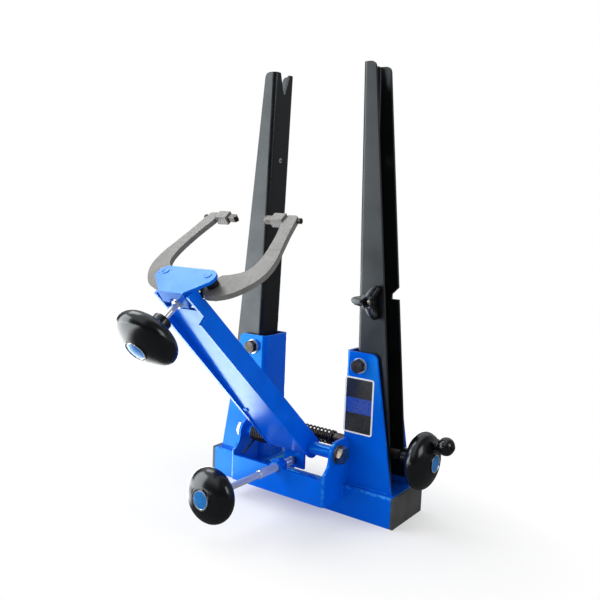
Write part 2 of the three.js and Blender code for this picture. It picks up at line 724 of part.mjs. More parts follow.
function spindleKnob() {
  const face = SPINDLE_KNOB_BACK + KNOB_LENGTH;
  const seat = cylinderX(SPINNER_PIN_RADIUS + SEAT, SPINNER_BACK - SPINNER_PIN_DEPTH - SEAT,
    face + OVERRUN, AXIS_Y, SPINDLE_Z + SPINNER_OFFSET, ROUND / 2);
  return cut(towardsX(boredKnob(SPINDLE_RADIUS)), seat);
}

function spinnerPin() {
  const z = SPINDLE_Z + SPINNER_OFFSET;
  const end = SPINNER_BACK + SPINNER_LENGTH + SEAT;
  const pin = cylinderX(SPINNER_PIN_RADIUS, SPINNER_BACK - SPINNER_PIN_DEPTH,
    end + SPINNER_PIN_HEAD_HEIGHT / 2, AXIS_Y, z, ROUND / 2);
  return join(pin, cylinderX(SPINNER_PIN_HEAD, end, end + SPINNER_PIN_HEAD_HEIGHT, AXIS_Y, z));
}

function hubSpringPoints() {
  const low = SEAT - TRUNNION_INNER_END;
  const first = low + HUB_SPRING_WIRE;
  const steps = HUB_SPRING_CURLS * CURL_STEPS;
  const points = [helixPoint(low, HUB_SPRING_RADIUS, 0, AXIS_Y, SPINDLE_Z)];
  for (let i = 0; i <= steps; i += 1) {
    const angle = (2 * Math.PI * i) / CURL_STEPS;
    const x = first - (2 * first * i) / steps;
    points.push(helixPoint(x, HUB_SPRING_RADIUS, angle, AXIS_Y, SPINDLE_Z));
  }
  points.push(helixPoint(-low, HUB_SPRING_RADIUS, 0, AXIS_Y, SPINDLE_Z));
  return points;
}

// Thumb screw
function thumbKnob() {
  const back = AXIS_Y - UPRIGHT_HALF_DEPTH - THUMB_STAND_OFF;
  const front = back - THUMB_THICKNESS;
  const webWidth = THUMB_LOBE_RADIUS * THUMB_WEB_SHARE;
  let body = cylinderY(THUMB_HUB, front, back, THUMB_X, THUMB_Z);
  for (let i = 0; i < THUMB_LOBES; i += 1) {
    const angle = Math.PI + (i * 2 * Math.PI) / THUMB_LOBES;
    const x = THUMB_X + THUMB_LOBE_REACH * Math.cos(angle);
    const z = THUMB_Z + THUMB_LOBE_REACH * Math.sin(angle);
    const web = new THREE.BoxGeometry(THUMB_LOBE_REACH, THUMB_THICKNESS, webWidth);
    web.translate(THUMB_LOBE_REACH / 2, 0, 0).rotateY(-angle);
    web.translate(THUMB_X, (front + back) / 2, THUMB_Z);
    body = join(body, web, cylinderY(THUMB_LOBE_RADIUS, front, back, x, z, ROUND / 2));
  }
  const hole = cylinderY(THUMB_HOLE, front + THUMB_FACE, back + OVERRUN, THUMB_X, THUMB_Z);
  return cut(body, hole);
}

// Label
function labelPlate() {
  const corners = [LABEL_CORNER, LABEL_CORNER, LABEL_CORNER, LABEL_CORNER];
  const shape = roundedBox(LABEL_X - LABEL_WIDTH / 2, LABEL_X + LABEL_WIDTH / 2,
    LABEL_Z - LABEL_HEIGHT / 2, LABEL_Z + LABEL_HEIGHT / 2, corners);
  return sweepY(shape, TOWER_FRONT - LABEL_THICKNESS, TOWER_FRONT);
}

// Arm bracket
function armBracket() {
  const earTop = ARM_PIVOT_Z + EAR_ROUND;
  const ear = new THREE.Shape();
  ear.moveTo(BAR_FRONT, BAR_BOTTOM);
  ear.lineTo(BASE_FRONT, BAR_BOTTOM);
  ear.lineTo(BASE_FRONT, BASE_HEIGHT);
  ear.lineTo(TOWER_FRONT, BASE_HEIGHT);
  ear.lineTo(TOWER_FRONT, earTop);
  ear.lineTo(ARM_PIVOT_Y, earTop);
  ear.absarc(ARM_PIVOT_Y, ARM_PIVOT_Z, EAR_ROUND, QUARTER, 2 * QUARTER, false);
  ear.quadraticCurveTo(ARM_PIVOT_Y - EAR_ROUND, BAR_TOP + 2 * EAR_FRONT_STEP,
    BAR_FRONT, BAR_TOP + EAR_FRONT_STEP);
  const parts = Object.values(SIDES).map(
    (side) => onSide(side, sweepX(ear, EAR_FACE - SHEET, EAR_FACE)));
  const bar = box(-EAR_FACE, EAR_FACE, BAR_FRONT, BAR_FRONT + SHEET, BAR_BOTTOM, BAR_TOP);
  const hump = cylinderY(HUMP_RADIUS, BAR_FRONT, BAR_FRONT + SHEET, 0, HUMP_Z);
  const shaft = cylinderX(SHAFT_HOLE, -EAR_FACE - OVERRUN, EAR_FACE + OVERRUN, ARM_PIVOT_Y, ARM_PIVOT_Z);
  const rodHole = cylinderY(ROD_HOLE, BAR_FRONT - OVERRUN, BAR_FRONT + OVERRUN, 0, ROD_Z);
  return cut(join(bar, hump, ...parts), shaft, rodHole);
}

// Torsion spring
function armSpringPoints() {
  const turn = ARM_SPRING_TURNS * 2 * Math.PI + QUARTER - ARM_ANGLE - ARM_SPRING_START_ANGLE;
  const steps = Math.round((turn * CURL_STEPS) / (2 * Math.PI));
  const points = [];
  const spot = (share) => helixPoint(
    ARM_SPRING_START + (ARM_SPRING_END - ARM_SPRING_START) * share, ARM_SPRING_RADIUS,
    ARM_SPRING_START_ANGLE + turn * share, ARM_PIVOT_Y, ARM_PIVOT_Z);
  const along = (share, length) => {
    const angle = ARM_SPRING_START_ANGLE + turn * share;
    return spot(share).add(new THREE.Vector3(0, -Math.sin(angle) * length, Math.cos(angle) * length));
  };
  points.push(along(0, -ARM_SPRING_LEG));
  for (let i = 0; i <= steps; i += 1) points.push(spot(i / steps));
  points.push(along(1, ARM_SPRING_LEG));
  return points;
}

// Caliper arm, in the arm's frame: x across, y up the arm, z towards the front
function armHalfWidth(along) {
  return ARM_HALF_WIDTH - along * ARM_NARROWING_SHARE;
}

function narrowed(geometry) {
  const spots = geometry.attributes.position;
  for (let i = 0; i < spots.count; i += 1) {
    const x = spots.getX(i);
    spots.setX(i, x - Math.sign(x) * spots.getY(i) * ARM_NARROWING_SHARE);
  }
  return geometry;
}

function inArmFrame(y, z) {
  const dy = y - ARM_PIVOT_Y;
  const dz = z - ARM_PIVOT_Z;
  const c = Math.cos(ARM_ANGLE);
  const s = Math.sin(ARM_ANGLE);
  return [-c * dy + s * dz, -s * dy - c * dz];
}

function armFlange() {
  const footRound = ARM_FOOT_DEPTH / 2;
  const front = ARM_BACK + ARM_FOOT_DEPTH;
  const shape = new THREE.Shape();
  shape.moveTo(ARM_LENGTH, ARM_BACK);
  shape.lineTo(ARM_LENGTH, ARM_BACK + ARM_HEAD_DEPTH);
  shape.lineTo(-footRound / 2, front);
  shape.absarc(-footRound / 2, ARM_BACK + footRound, footRound, QUARTER, 3 * QUARTER, false);
  return narrowed(sweepX(shape, ARM_HALF_WIDTH - SHEET, ARM_HALF_WIDTH));
}

// Part of a circle about the pivot, from straight in front of the arm to straight below the pivot
function armWrap(radius) {
  return Array.from({ length: ARM_WRAP_STEPS + 1 }, (_, i) => {
    const angle = ARM_ANGLE * i / ARM_WRAP_STEPS;
    return [-radius * Math.sin(angle), radius * Math.cos(angle)];
  });
}

// The web passes in front of the pivot, wraps under it and runs level back to the tab
function armWeb() {
  const fall = ARM_LENGTH * ARM_WEB_SLANT_SHARE;
  const inner = ARM_WEB_FRONT - SHEET;
  const back = ARM_TAB_Y + SHEET;
  const shape = outline([
    [ARM_LENGTH, ARM_WEB_FRONT - fall], ...armWrap(ARM_WEB_FRONT),
    inArmFrame(back, ARM_PIVOT_Z - ARM_WEB_FRONT), inArmFrame(back, ARM_PIVOT_Z - inner),
    ...armWrap(inner).reverse(), [ARM_LENGTH, inner - fall],
  ]);
  const web = narrowed(sweepX(shape, -ARM_HALF_WIDTH, ARM_HALF_WIDTH));
  const low = Math.min(-SCREW_BLOCK_HEIGHT, HEAD_LIP_BOTTOM) - SEAT;
  return cut(web, fromHeadToArm(box(-HEAD_HALF_WIDTH, HEAD_HALF_WIDTH, -ARM_LENGTH, ARM_LENGTH,
    low, low + ARM_LENGTH)));
}

function armTab() {
  const top = ARM_PIVOT_Z - ARM_WEB_FRONT + SHEET / 2;
  const shape = outline([
    inArmFrame(ARM_TAB_Y, top), inArmFrame(ARM_TAB_Y, ARM_TAB_BOTTOM),
    inArmFrame(ARM_TAB_Y + SHEET, ARM_TAB_BOTTOM), inArmFrame(ARM_TAB_Y + SHEET, top),
  ]);
  return sweepX(shape, -ARM_TAB_HALF_WIDTH, ARM_TAB_HALF_WIDTH);
}

function caliperArm() {
  const width = armHalfWidth(PEG_ALONG);
  const peg = cylinderX(PEG_RADIUS, SHEET / 2 - width, PEG_LENGTH - width, PEG_ALONG, PEG_DEPTH,
    ROUND / 2);
  const body = join(armWeb(), armFlange(), mirrored(armFlange()), armTab(), peg);
  const shaft = cylinderX(SHAFT_HOLE, -EAR_FACE, EAR_FACE, 0, 0);
  const under = HEAD_PLATE_UNDER - SEAT;
  const above = fromHeadToArm(box(-HEAD_HALF_WIDTH, HEAD_HALF_WIDTH, -ARM_LENGTH, ARM_LENGTH,
    under, under + ARM_LENGTH));
  const inner = armHalfWidth(HEAD_ALONG) - ARM_RELIEF;
  const relief = fromHeadToArm(box(inner, HEAD_HALF_WIDTH, CALIPER_PIVOT_Y - CALIPER_SWEEP,
    HEAD_HALF_WIDTH, LOWER_PLATE_TOP, under));
  const notch = box(-ARM_HALF_WIDTH, ARM_HALF_WIDTH, ARM_NOTCH_ALONG, ARM_LENGTH + OVERRUN,
    ARM_WEB_FRONT - ARM_NOTCH_ALONG * ARM_WEB_SLANT_SHARE, ARM_BACK + ARM_FOOT_DEPTH);
  return cut(body, shaft, above, relief, mirrored(relief), notch);
}

// Adjusting rod
function adjustingRod() {
  const front = ROD_KNOB_BACK - KNOB_BORE_DEPTH + SEAT;
  const thin = cylinderY(ROD_THIN_RADIUS, front, ROD_STEP_Y + SEAT, 0, ROD_Z);
  return join(cylinderY(ROD_RADIUS, ROD_STEP_Y, ROD_END_Y, 0, ROD_Z), thin);
}

function rodTip() {
  const back = ARM_TAB_Y - SEAT;
  const front = ROD_END_Y + SEAT;
  const length = back - front;
  const profile = ROD_TIP_SHARES.map(([r, y]) => [r * ROD_TIP_RADIUS, y * length]);
  return turned(profile).translate(0, front, ROD_Z);
}

// A knob that faces the user, on a shaft along Y
function frontKnob(geometry, back) {
  return geometry.rotateX(2 * QUARTER).translate(0, back, 0);
}

// Head, in the head's frame
function hexagonOutline(frontHalf, half, rearHalf, front, corner, rear) {
  return outline([
    [-frontHalf, front], [frontHalf, front], [half, corner], [rearHalf, rear],
    [-rearHalf, rear], [-half, corner],
  ]);
}

function roundedHead() {
  const reach = HEAD_HALF_WIDTH - CALIPER_PIVOT_X;
  const tips = Object.values(SIDES).map((side) => cylinderZ(reach, HEAD_PLATE_UNDER,
    HEAD_PLATE_UNDER + SHEET, side * CALIPER_PIVOT_X, HEAD_CORNER_Y));
  const shoulder = CALIPER_PIVOT_X + reach * HEAD_SHOULDER_OUT_SHARE;
  const body = hexagonOutline(HEAD_FRONT_HALF, shoulder, HEAD_REAR_HALF,
    HEAD_FRONT, HEAD_CORNER_Y - reach * HEAD_SHOULDER_SHARE, HEAD_CORNER_Y + reach);
  return join(sweepZ(body, HEAD_PLATE_UNDER, HEAD_PLATE_UNDER + SHEET), ...tips);
}

function headPlate() {
  const lipBack = HEAD_FRONT + SHEET / 2;
  const lip = box(-HEAD_LIP_HALF, HEAD_LIP_HALF, lipBack - SHEET, lipBack,
    HEAD_LIP_BOTTOM, HEAD_PLATE_UNDER + SHEET);
  const holes = Object.values(SIDES).map((side) => cylinderZ(PIN_HOLE, 0,
    HEAD_PLATE_UNDER + OVERRUN, side * CALIPER_PIVOT_X, CALIPER_PIVOT_Y));
  const arch = cylinderY(HEAD_LIP_ARCH, HEAD_FRONT - OVERRUN, HEAD_FRONT + OVERRUN, 0, 0);
  return cut(join(roundedHead(), lip), arch, ...holes);
}

const LOWER_PLATE_TOP = -CALIPER_THICKNESS / 2 - CALIPER_GAP;

function headLowerPlate() {
  const corners = [LABEL_CORNER, LABEL_CORNER, BEND, BEND];
  const shape = roundedBox(-LOWER_PLATE_HALF, LOWER_PLATE_HALF, LOWER_PLATE_FRONT,
    LOWER_PLATE_REAR, corners);
  const low = LOWER_PLATE_TOP - LOWER_PLATE;
  const holes = Object.values(SIDES).map((side) => cylinderZ(PIN_HOLE, low - OVERRUN, OVERRUN,
    side * CALIPER_PIVOT_X, CALIPER_PIVOT_Y));
  const channel = cylinderY(CROSSHEAD_FLANGE + 2 * SEAT, LOWER_PLATE_FRONT - OVERRUN,
    LOWER_PLATE_REAR - LOWER_PLATE, 0, 0);
  const screw = cylinderY(SCREW_HOLE, 0, LOWER_PLATE_REAR + OVERRUN, 0, 0);
  return cut(sweepZ(shape, low, LOWER_PLATE_TOP), channel, screw, ...holes);
}

function caliperPin(side) {
  const x = side * CALIPER_PIVOT_X;
  const top = HEAD_PLATE_UNDER + SHEET;
  const low = LOWER_PLATE_TOP - LOWER_PLATE;
  const pin = cylinderZ(PIN_RADIUS, low - PIN_NUT, top + PIN_HEAD, x, CALIPER_PIVOT_Y);
  const head = cylinderZ(PIN_HEAD_RADIUS, top + SEAT / 2, top + PIN_HEAD, x, CALIPER_PIVOT_Y);
  const nut = cylinderZ(PIN_NUT_RADIUS, low - PIN_NUT, low - SEAT / 2, x, CALIPER_PIVOT_Y, HEX);
  return join(pin, head, nut);
}

function screwBlock() {
  const block = box(-SCREW_BLOCK_HALF, SCREW_BLOCK_HALF, SCREW_BLOCK_FRONT, SCREW_BLOCK_BACK,
    -SCREW_BLOCK_HEIGHT, SCREW_BLOCK_HEIGHT);
  return cut(block, cylinderY(SCREW_HOLE, SCREW_BLOCK_FRONT - OVERRUN, OVERRUN, 0, 0));
}

// Calipers
function caliperOutline() {
  const toPoint = ([x, y]) => new THREE.Vector2(x * CALIPER_HALF_WIDTH, y * CALIPER_REACH);
  const tailX = CALIPER_PIVOT_X - CALIPER_TAIL;
  const waistX = CALIPER_PIVOT_X - CALIPER_TAIL * CALIPER_WAIST_SHARE;
  const shape = new THREE.Shape();
  shape.moveTo(tailX, CALIPER_PIVOT_Y - CALIPER_TAIL_RADIUS);
  const [first, ...rest] = CALIPER_OUTER_SHARES.map(toPoint);
  shape.lineTo(CALIPER_PIVOT_X - CALIPER_TAIL / 2, CALIPER_PIVOT_Y - CALIPER_TAIL_RADIUS);
  shape.quadraticCurveTo(waistX, first.y, first.x, first.y);
  shape.splineThru(rest);
  CALIPER_END_SHARES.map(toPoint).forEach((point) => shape.lineTo(point.x, point.y));
  const inner = CALIPER_INNER_SHARES.map(toPoint);
  shape.lineTo(inner[0].x, inner[0].y);
  shape.splineThru(inner.slice(1));
  shape.quadraticCurveTo(waistX, CALIPER_PIVOT_Y + CALIPER_TAIL_RADIUS * 2,
    CALIPER_PIVOT_X - CALIPER_TAIL / 2, CALIPER_PIVOT_Y + CALIPER_TAIL_RADIUS);
  shape.lineTo(tailX, CALIPER_PIVOT_Y + CALIPER_TAIL_RADIUS);
  shape.absarc(tailX, CALIPER_PIVOT_Y, CALIPER_TAIL_RADIUS, QUARTER, 3 * QUARTER, false);
  return shape;
}

const TIP_SCREW_Y = TIP_FRONT_Y + TIP_DEPTH / 2;
const CALIPER_END_X = CALIPER_END_SHARE * CALIPER_HALF_WIDTH;
const TIP_OUTER_X = CALIPER_END_X - SEAT;
const TIP_SCREW_END = TIP_SCREW_END_SHARE * CALIPER_HALF_WIDTH;

function caliper() {
  const half = CALIPER_THICKNESS / 2;
  const body = extrude(caliperOutline(), CALIPER_THICKNESS, CALIPER_STEPS).translate(0, 0, -half);
  const pin = cylinderZ(PIN_HOLE, -OVERRUN, OVERRUN, CALIPER_PIVOT_X, CALIPER_PIVOT_Y);
  const screw = cylinderX(TIP_SCREW_HOLE, 0, CALIPER_HALF_WIDTH, TIP_SCREW_Y, 0, ROUND / 2);
  return cut(body, pin, screw);
}

function caliperTip() {
  const block = box(TIP_INNER_X, TIP_OUTER_X, TIP_FRONT_Y, TIP_FRONT_Y + TIP_DEPTH,
    -TIP_HALF_HEIGHT, TIP_HALF_HEIGHT);
  return cut(block, cylinderX(TIP_SCREW_HOLE, 0, CALIPER_HALF_WIDTH, TIP_SCREW_Y, 0, ROUND / 2));
}

function feeler() {
  const back = TIP_INNER_X - SEAT;
  const low = TIP_SCREW_Y - FEELER_DEPTH / 2;
  const high = TIP_SCREW_Y + FEELER_DEPTH / 2;
  const shape = outline([
    [back, low], [back, high], [FEELER_END_X + FEELER_NOSE, high],
    [FEELER_END_X, TIP_SCREW_Y], [FEELER_END_X + FEELER_NOSE, low],
  ]);
  return sweepZ(outline(shape.getPoints().map((p) => [p.x, p.y]).reverse()),
    -FEELER_HALF_HEIGHT, FEELER_HALF_HEIGHT);
}

function tipScrew() {
  const head = TIP_SCREW_END;
  const shaft = cylinderX(TIP_SCREW_RADIUS, TIP_INNER_X + SEAT, head, TIP_SCREW_Y, 0, ROUND / 2);
  return join(shaft, cylinderX(TIP_SCREW_HEAD, head, head + TIP_SCREW_HEAD_HEIGHT, TIP_SCREW_Y, 0,
    ROUND / 2));
}

// Caliper screw, in the head's frame
function caliperScrew() {
  const shaft = cylinderY(SCREW_RADIUS, SCREW_KNOB_BACK - KNOB_BORE_DEPTH + SEAT, SCREW_END, 0, 0);
  const back = SCREW_BLOCK_FRONT - SEAT;
  return join(shaft, cylinderY(SCREW_COLLAR_RADIUS, back - SCREW_COLLAR_LENGTH, back, 0, 0));
}

function crosshead() {
  const groove = CROSSHEAD_GROOVE / 2;
  const edge = groove + CROSSHEAD_FLANGE_WALL;
  const bore = SCREW_HOLE;
  const profile = [
    [bore, -edge], [CROSSHEAD_FLANGE, -edge], [CROSSHEAD_FLANGE, -groove], [CROSSHEAD_CORE, -groove],
    [CROSSHEAD_CORE, groove], [CROSSHEAD_FLANGE, groove], [CROSSHEAD_FLANGE, edge], [bore, edge],
    [bore, -edge],
  ];
  return turned(profile).translate(0, CALIPER_PIVOT_Y, 0);
}

// Assembly: base, towers and uprights
place("base_channel", baseChannel(), "bluePaint");
place("arm_bracket", armBracket(), "bluePaint");
for (const [name, side] of Object.entries(SIDES)) {
  const front = AXIS_Y - TOWER_HALF_DEPTH;
  const rear = AXIS_Y + TOWER_HALF_DEPTH;
  const x = side * TILT_X;
  place(`end_cap_${name}`, onSide(side, endCap()), "blackPlastic");
  place(`tower_${name}`, onSide(side, tower()), "bluePaint");
  place(`upright_${name}`, upright(side), "blackPaint");
  place(`upright_washer_${name}`,
    ringY(WASHER_RADIUS, BOLT_HOLE, front - WASHER, front, x, TILT_Z), "chrome");
  place(`upright_bolt_${name}`, bolt(x, TILT_Z, front - WASHER - SEAT, rear + NUT_HEIGHT), "darkSteel");
  place(`upright_nut_${name}`,
    ringY(BOLT_HEAD_RADIUS, BOLT_HOLE, rear, rear + NUT_HEIGHT, x, TILT_Z, HEX), "darkSteel");
  place(`trunnion_${name}`, onSide(side, trunnion()), "darkSteel");
}
place("label_plate", labelPlate(), "labelPanel");

// Assembly: spindle, its knob, spinner and spring
const spindleEnd = SPINDLE_KNOB_BACK + KNOB_BORE_DEPTH - SEAT;
place("spindle", cylinderX(SPINDLE_RADIUS, SPINDLE_LEFT_END, spindleEnd, AXIS_Y, SPINDLE_Z), "darkSteel");
place("spindle_knob", spindleKnob(), "blackPlastic");
place("spindle_badge", towardsX(badge()), "badgePanel");
place("spinner_handle", spinnerHandle(), "blackPlastic");
place("spinner_pin", spinnerPin(), "zincSteel");
place("hub_spring", wireSolid(hubSpringPoints(), HUB_SPRING_WIRE), "darkSteel");
printLeastGap("hub_spring", hubSpringPoints(), HUB_SPRING_WIRE);

// Assembly: thumb screw
const flangeBack = AXIS_Y - UPRIGHT_HALF_DEPTH + SHEET;
const studFront = AXIS_Y - UPRIGHT_HALF_DEPTH - THUMB_STAND_OFF - THUMB_THICKNESS / 2;
place("thumb_knob", thumbKnob(), "blackPlastic");
place("thumb_stud",
  cylinderY(THUMB_STUD_RADIUS, studFront, flangeBack + THUMB_STUD_END, THUMB_X, THUMB_Z), "zincSteel");
place("thumb_nut", ringY(THUMB_NUT_RADIUS, THUMB_HOLE, flangeBack + SEAT,
  flangeBack + SEAT + THUMB_NUT_HEIGHT, THUMB_X, THUMB_Z, HEX), "zincSteel");

// Assembly: pivot of the arm
const headX = EAR_FACE + WASHER + SEAT;
const pivotEnd = headX + SHAFT_HEAD_HEIGHT;
place("arm_pivot_bolt", join(
  cylinderX(SHAFT_RADIUS, -pivotEnd, headX + SEAT, ARM_PIVOT_Y, ARM_PIVOT_Z),
  cylinderX(SHAFT_HEAD_RADIUS, headX, pivotEnd, ARM_PIVOT_Y, ARM_PIVOT_Z, HEX)), "zincSteel");
place("arm_pivot_nut",
  ringX(SHAFT_HEAD_RADIUS, SHAFT_HOLE, -pivotEnd, -headX, ARM_PIVOT_Y, ARM_PIVOT_Z, HEX), "zincSteel");
for (const [name, side] of Object.entries(SIDES)) {
  place(`arm_washer_${name}`, onSide(side, ringX(SHAFT_WASHER_RADIUS, SHAFT_HOLE, EAR_FACE,
    EAR_FACE + WASHER, ARM_PIVOT_Y, ARM_PIVOT_Z)), "zincSteel");
  place(`arm_spacer_${name}`, onSide(side, ringX(SPACER_RADIUS, SHAFT_HOLE,
    ARM_HALF_WIDTH + ARM_SIDE_GAP, EAR_FACE - SHEET, ARM_PIVOT_Y, ARM_PIVOT_Z)), "bluePaint");
}
place("arm_spring", wireSolid(armSpringPoints(), ARM_SPRING_WIRE), "darkSteel");
printLeastGap("arm_spring", armSpringPoints(), ARM_SPRING_WIRE);

// Assembly: arm and adjusting rod
place("caliper_arm", caliperArm(), "bluePaint", armFrame);
place("adjusting_rod", adjustingRod(), "chrome");
place("rod_tip", rodTip(), "zincSteel");
place("rod_nut", ringY(ROD_NUT_RADIUS, ROD_HOLE, BAR_FRONT + SHEET,
  BAR_FRONT + SHEET + ROD_NUT_LENGTH, 0, ROD_Z, HEX), "bluePaint");
place("rod_knob", frontKnob(boredKnob(ROD_THIN_RADIUS, ROD_KNOB_RADIUS), ROD_KNOB_BACK)
  .translate(0, 0, ROD_Z), "blackPlastic");
place("rod_badge", frontKnob(badge(), ROD_KNOB_BACK).translate(0, 0, ROD_Z), "badgePanel");

// Assembly: head, calipers and their screw
place("head_plate", headPlate(), "bluePaint", headFrame);
place("head_lower_plate", headLowerPlate(), "blackPaint", headFrame);
place("screw_block", screwBlock(), "bluePaint", headFrame);
for (const [name, side] of Object.entries(SIDES)) {
  const sleeveLow = CALIPER_THICKNESS / 2 + CALIPER_GAP;
  place(`caliper_${name}`, onSide(side, caliper()), "caliperSteel", headFrame);
  place(`caliper_pin_${name}`, caliperPin(side), "darkSteel", headFrame);
  place(`caliper_sleeve_${name}`, ringZ(SLEEVE_RADIUS, PIN_HOLE, sleeveLow, HEAD_PLATE_UNDER - SEAT,
    side * CALIPER_PIVOT_X, CALIPER_PIVOT_Y), "darkSteel", headFrame);
  place(`caliper_tip_${name}`, onSide(side, caliperTip()), "caliperSteel", headFrame);
  place(`feeler_${name}`, onSide(side, feeler()), "darkSteel", headFrame);
  place(`tip_screw_${name}`, onSide(side, tipScrew()), "darkSteel", headFrame);
}
place("caliper_screw", caliperScrew(), "chrome", headFrame);
place("crosshead", crosshead(), "zincSteel", headFrame);
place("screw_ring", ringY(SCREW_COLLAR_RADIUS, SCREW_HOLE, SCREW_RING_BACK - SCREW_RING,
  SCREW_RING_BACK, 0, 0), "darkSteel", headFrame);
place("caliper_knob", frontKnob(boredKnob(SCREW_RADIUS), SCREW_KNOB_BACK), "blackPlastic", headFrame);
place("caliper_badge", frontKnob(badge(), SCREW_KNOB_BACK), "badgePanel", headFrame);

export default stand;
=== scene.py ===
"""Wheel truing stand: detailed pieces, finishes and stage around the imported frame, in metres."""
import json
import math

import bmesh
import bpy
from bpy.props import FloatProperty, FloatVectorProperty, IntProperty, PointerProperty
from mathutils import Matrix, Vector

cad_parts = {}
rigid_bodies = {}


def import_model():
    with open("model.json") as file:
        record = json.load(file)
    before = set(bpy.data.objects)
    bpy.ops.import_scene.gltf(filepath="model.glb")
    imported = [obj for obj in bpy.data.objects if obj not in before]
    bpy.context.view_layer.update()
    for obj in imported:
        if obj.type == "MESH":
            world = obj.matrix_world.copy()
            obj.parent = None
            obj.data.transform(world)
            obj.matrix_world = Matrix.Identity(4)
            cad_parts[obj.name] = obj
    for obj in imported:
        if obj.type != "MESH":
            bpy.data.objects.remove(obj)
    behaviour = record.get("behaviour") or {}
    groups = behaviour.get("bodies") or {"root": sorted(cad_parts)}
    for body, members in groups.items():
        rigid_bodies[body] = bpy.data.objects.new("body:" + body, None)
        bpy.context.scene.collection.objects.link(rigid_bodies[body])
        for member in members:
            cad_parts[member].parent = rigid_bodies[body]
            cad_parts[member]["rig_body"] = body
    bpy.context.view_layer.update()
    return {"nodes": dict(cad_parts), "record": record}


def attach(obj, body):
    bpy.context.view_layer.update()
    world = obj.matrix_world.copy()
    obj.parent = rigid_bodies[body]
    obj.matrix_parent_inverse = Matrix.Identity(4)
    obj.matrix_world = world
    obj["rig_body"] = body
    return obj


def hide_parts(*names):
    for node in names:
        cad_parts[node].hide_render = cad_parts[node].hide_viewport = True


bl_info = {
    "name": "Wheel truing stand",
    "version": (1, 0, 0),
    "blender": (4, 5, 0),
    "location": "View3D > Sidebar > Truing stand",
    "description": "Detailed pieces, finishes and a stage for a bicycle wheel truing stand",
    "category": "Add Mesh",
}

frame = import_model()

# Places that the pieces share, in metres
MM = 0.001
TURN = 2 * math.pi
AXIS_Y = 27.6 * MM
SPINDLE_Z, SPINNER_Z = 68 * MM, 88 * MM
TILT_X, TILT_Z = 70.7 * MM, 158 * MM
TOWER_FRONT, TOWER_REAR = 5.9 * MM, 49.3 * MM
TOWER_FACE, TOWER_FOOT = 53.5 * MM, 113.5 * MM
BASE_TOP = 31.7 * MM
BASE_FRONT, BASE_REAR = -1.5 * MM, 62 * MM
ARM_PIVOT = Vector((0, -12.1 * MM, 67.1 * MM))
ARM_ANGLE = math.radians(43.3)
HEAD_TURN = math.radians(38)
HEAD = Matrix.Translation((0, -160.195 * MM, 245.997 * MM)) @ Matrix.Rotation(HEAD_TURN, 4, "X")
CALIPER_PIN_X, CALIPER_PIN_Y = 25 * MM, -4 * MM
ROD_Z = 44.9 * MM
ROD_KNOB_BACK = -112.5 * MM
SPINDLE_KNOB_BACK = 113.5 * MM
SCREW_KNOB_BACK = -48 * MM
KNOB_FACE_SHARE = 0.973
TRUNNION_END = 32
THUMB_X, THUMB_Z = 77 * MM, 224 * MM
LABEL_X, LABEL_Z = 71.5 * MM, 116 * MM
UPRIGHT_FRONT = AXIS_Y - 16.75 * MM
UPRIGHT_INSIDE = AXIS_Y - 13.75 * MM
EAR_FACE = 60.8 * MM
BAR_FRONT = -37.1 * MM
SIDES = {"left": -1, "right": 1}
SLOTS = {entry["node"]: entry["material_slot"] for entry in frame["record"]["subparts"]}
FINISHES = {}


# Sizes and colours that a user would change
def measure(name, description, default, precision=5):
    """Property for a length in metres"""
    return FloatProperty(name=name, description=description, default=default, unit="LENGTH",
                         precision=precision)


def colour(name, description, default):
    """Property for a colour"""
    return FloatVectorProperty(name=name, description=description, default=default, subtype="COLOR",
                               min=0, max=1)


class PieceSizes(bpy.types.PropertyGroup):
    """Sizes of the details"""

    edge: measure("Edge", "Width of a rounded edge", 0.45 * MM)
    bend: measure("Bend", "Outer radius of a folded edge", 2.4 * MM)
    weld: measure("Weld", "Radius of a weld bead", 1.7 * MM)
    knob_radius: measure("Knob radius", "Radius of a round knob", 29.5 * MM, 4)
    rod_knob_radius: measure("Rod knob radius", "Radius of the rod's knob", 27 * MM, 4)
    knob_length: measure("Knob length", "Length of a round knob", 37 * MM, 4)
    spinner_radius: measure("Spinner radius", "Radius of the spinner", 9.2 * MM)
    spinner_length: measure("Spinner length", "Length of the spinner", 17 * MM)
    steps: IntProperty(name="Steps", description="Steps round a turned piece", default=72, min=12)
    curls: IntProperty(name="Curls", description="Open curls of the spindle's spring", default=11,
                       min=3)
    wire: measure("Wire", "Thickness of the spindle spring's wire", 2.2 * MM)
    label_border: measure("Label border", "Width of the label's white border", 1.7 * MM)


class FinishColours(bpy.types.PropertyGroup):
    """Colours of the finishes"""

    blue: colour("Blue paint", "Gloss powder coat", (0.0, 0.105, 0.70))
    black: colour("Black paint", "Satin powder coat", (0.004, 0.0042, 0.0048))
    plastic: colour("Plastic", "Moulded knobs", (0.004, 0.004, 0.0043))
    cap: colour("Cap grey", "Moulded end caps", (0.06, 0.06, 0.061))
    chrome: colour("Chrome", "Polished plating", (0.80, 0.83, 0.84))
    zinc: colour("Zinc", "Warm zinc plating", (0.42, 0.34, 0.24))
    dark: colour("Dark steel", "Blackened steel", (0.045, 0.043, 0.042))
    caliper: colour("Caliper grey", "Tumbled steel", (0.15, 0.148, 0.142))
    badge: colour("Badge blue", "Plain disc", (0.02, 0.22, 0.62))
    label_light: colour("Label border", "Border of the label", (0.82, 0.84, 0.86))
    label_dark: colour("Label panel", "Dark panels of the label", (0.008, 0.009, 0.012))
    label_band: colour("Label band", "Blue band of the label", (0.006, 0.05, 0.36))


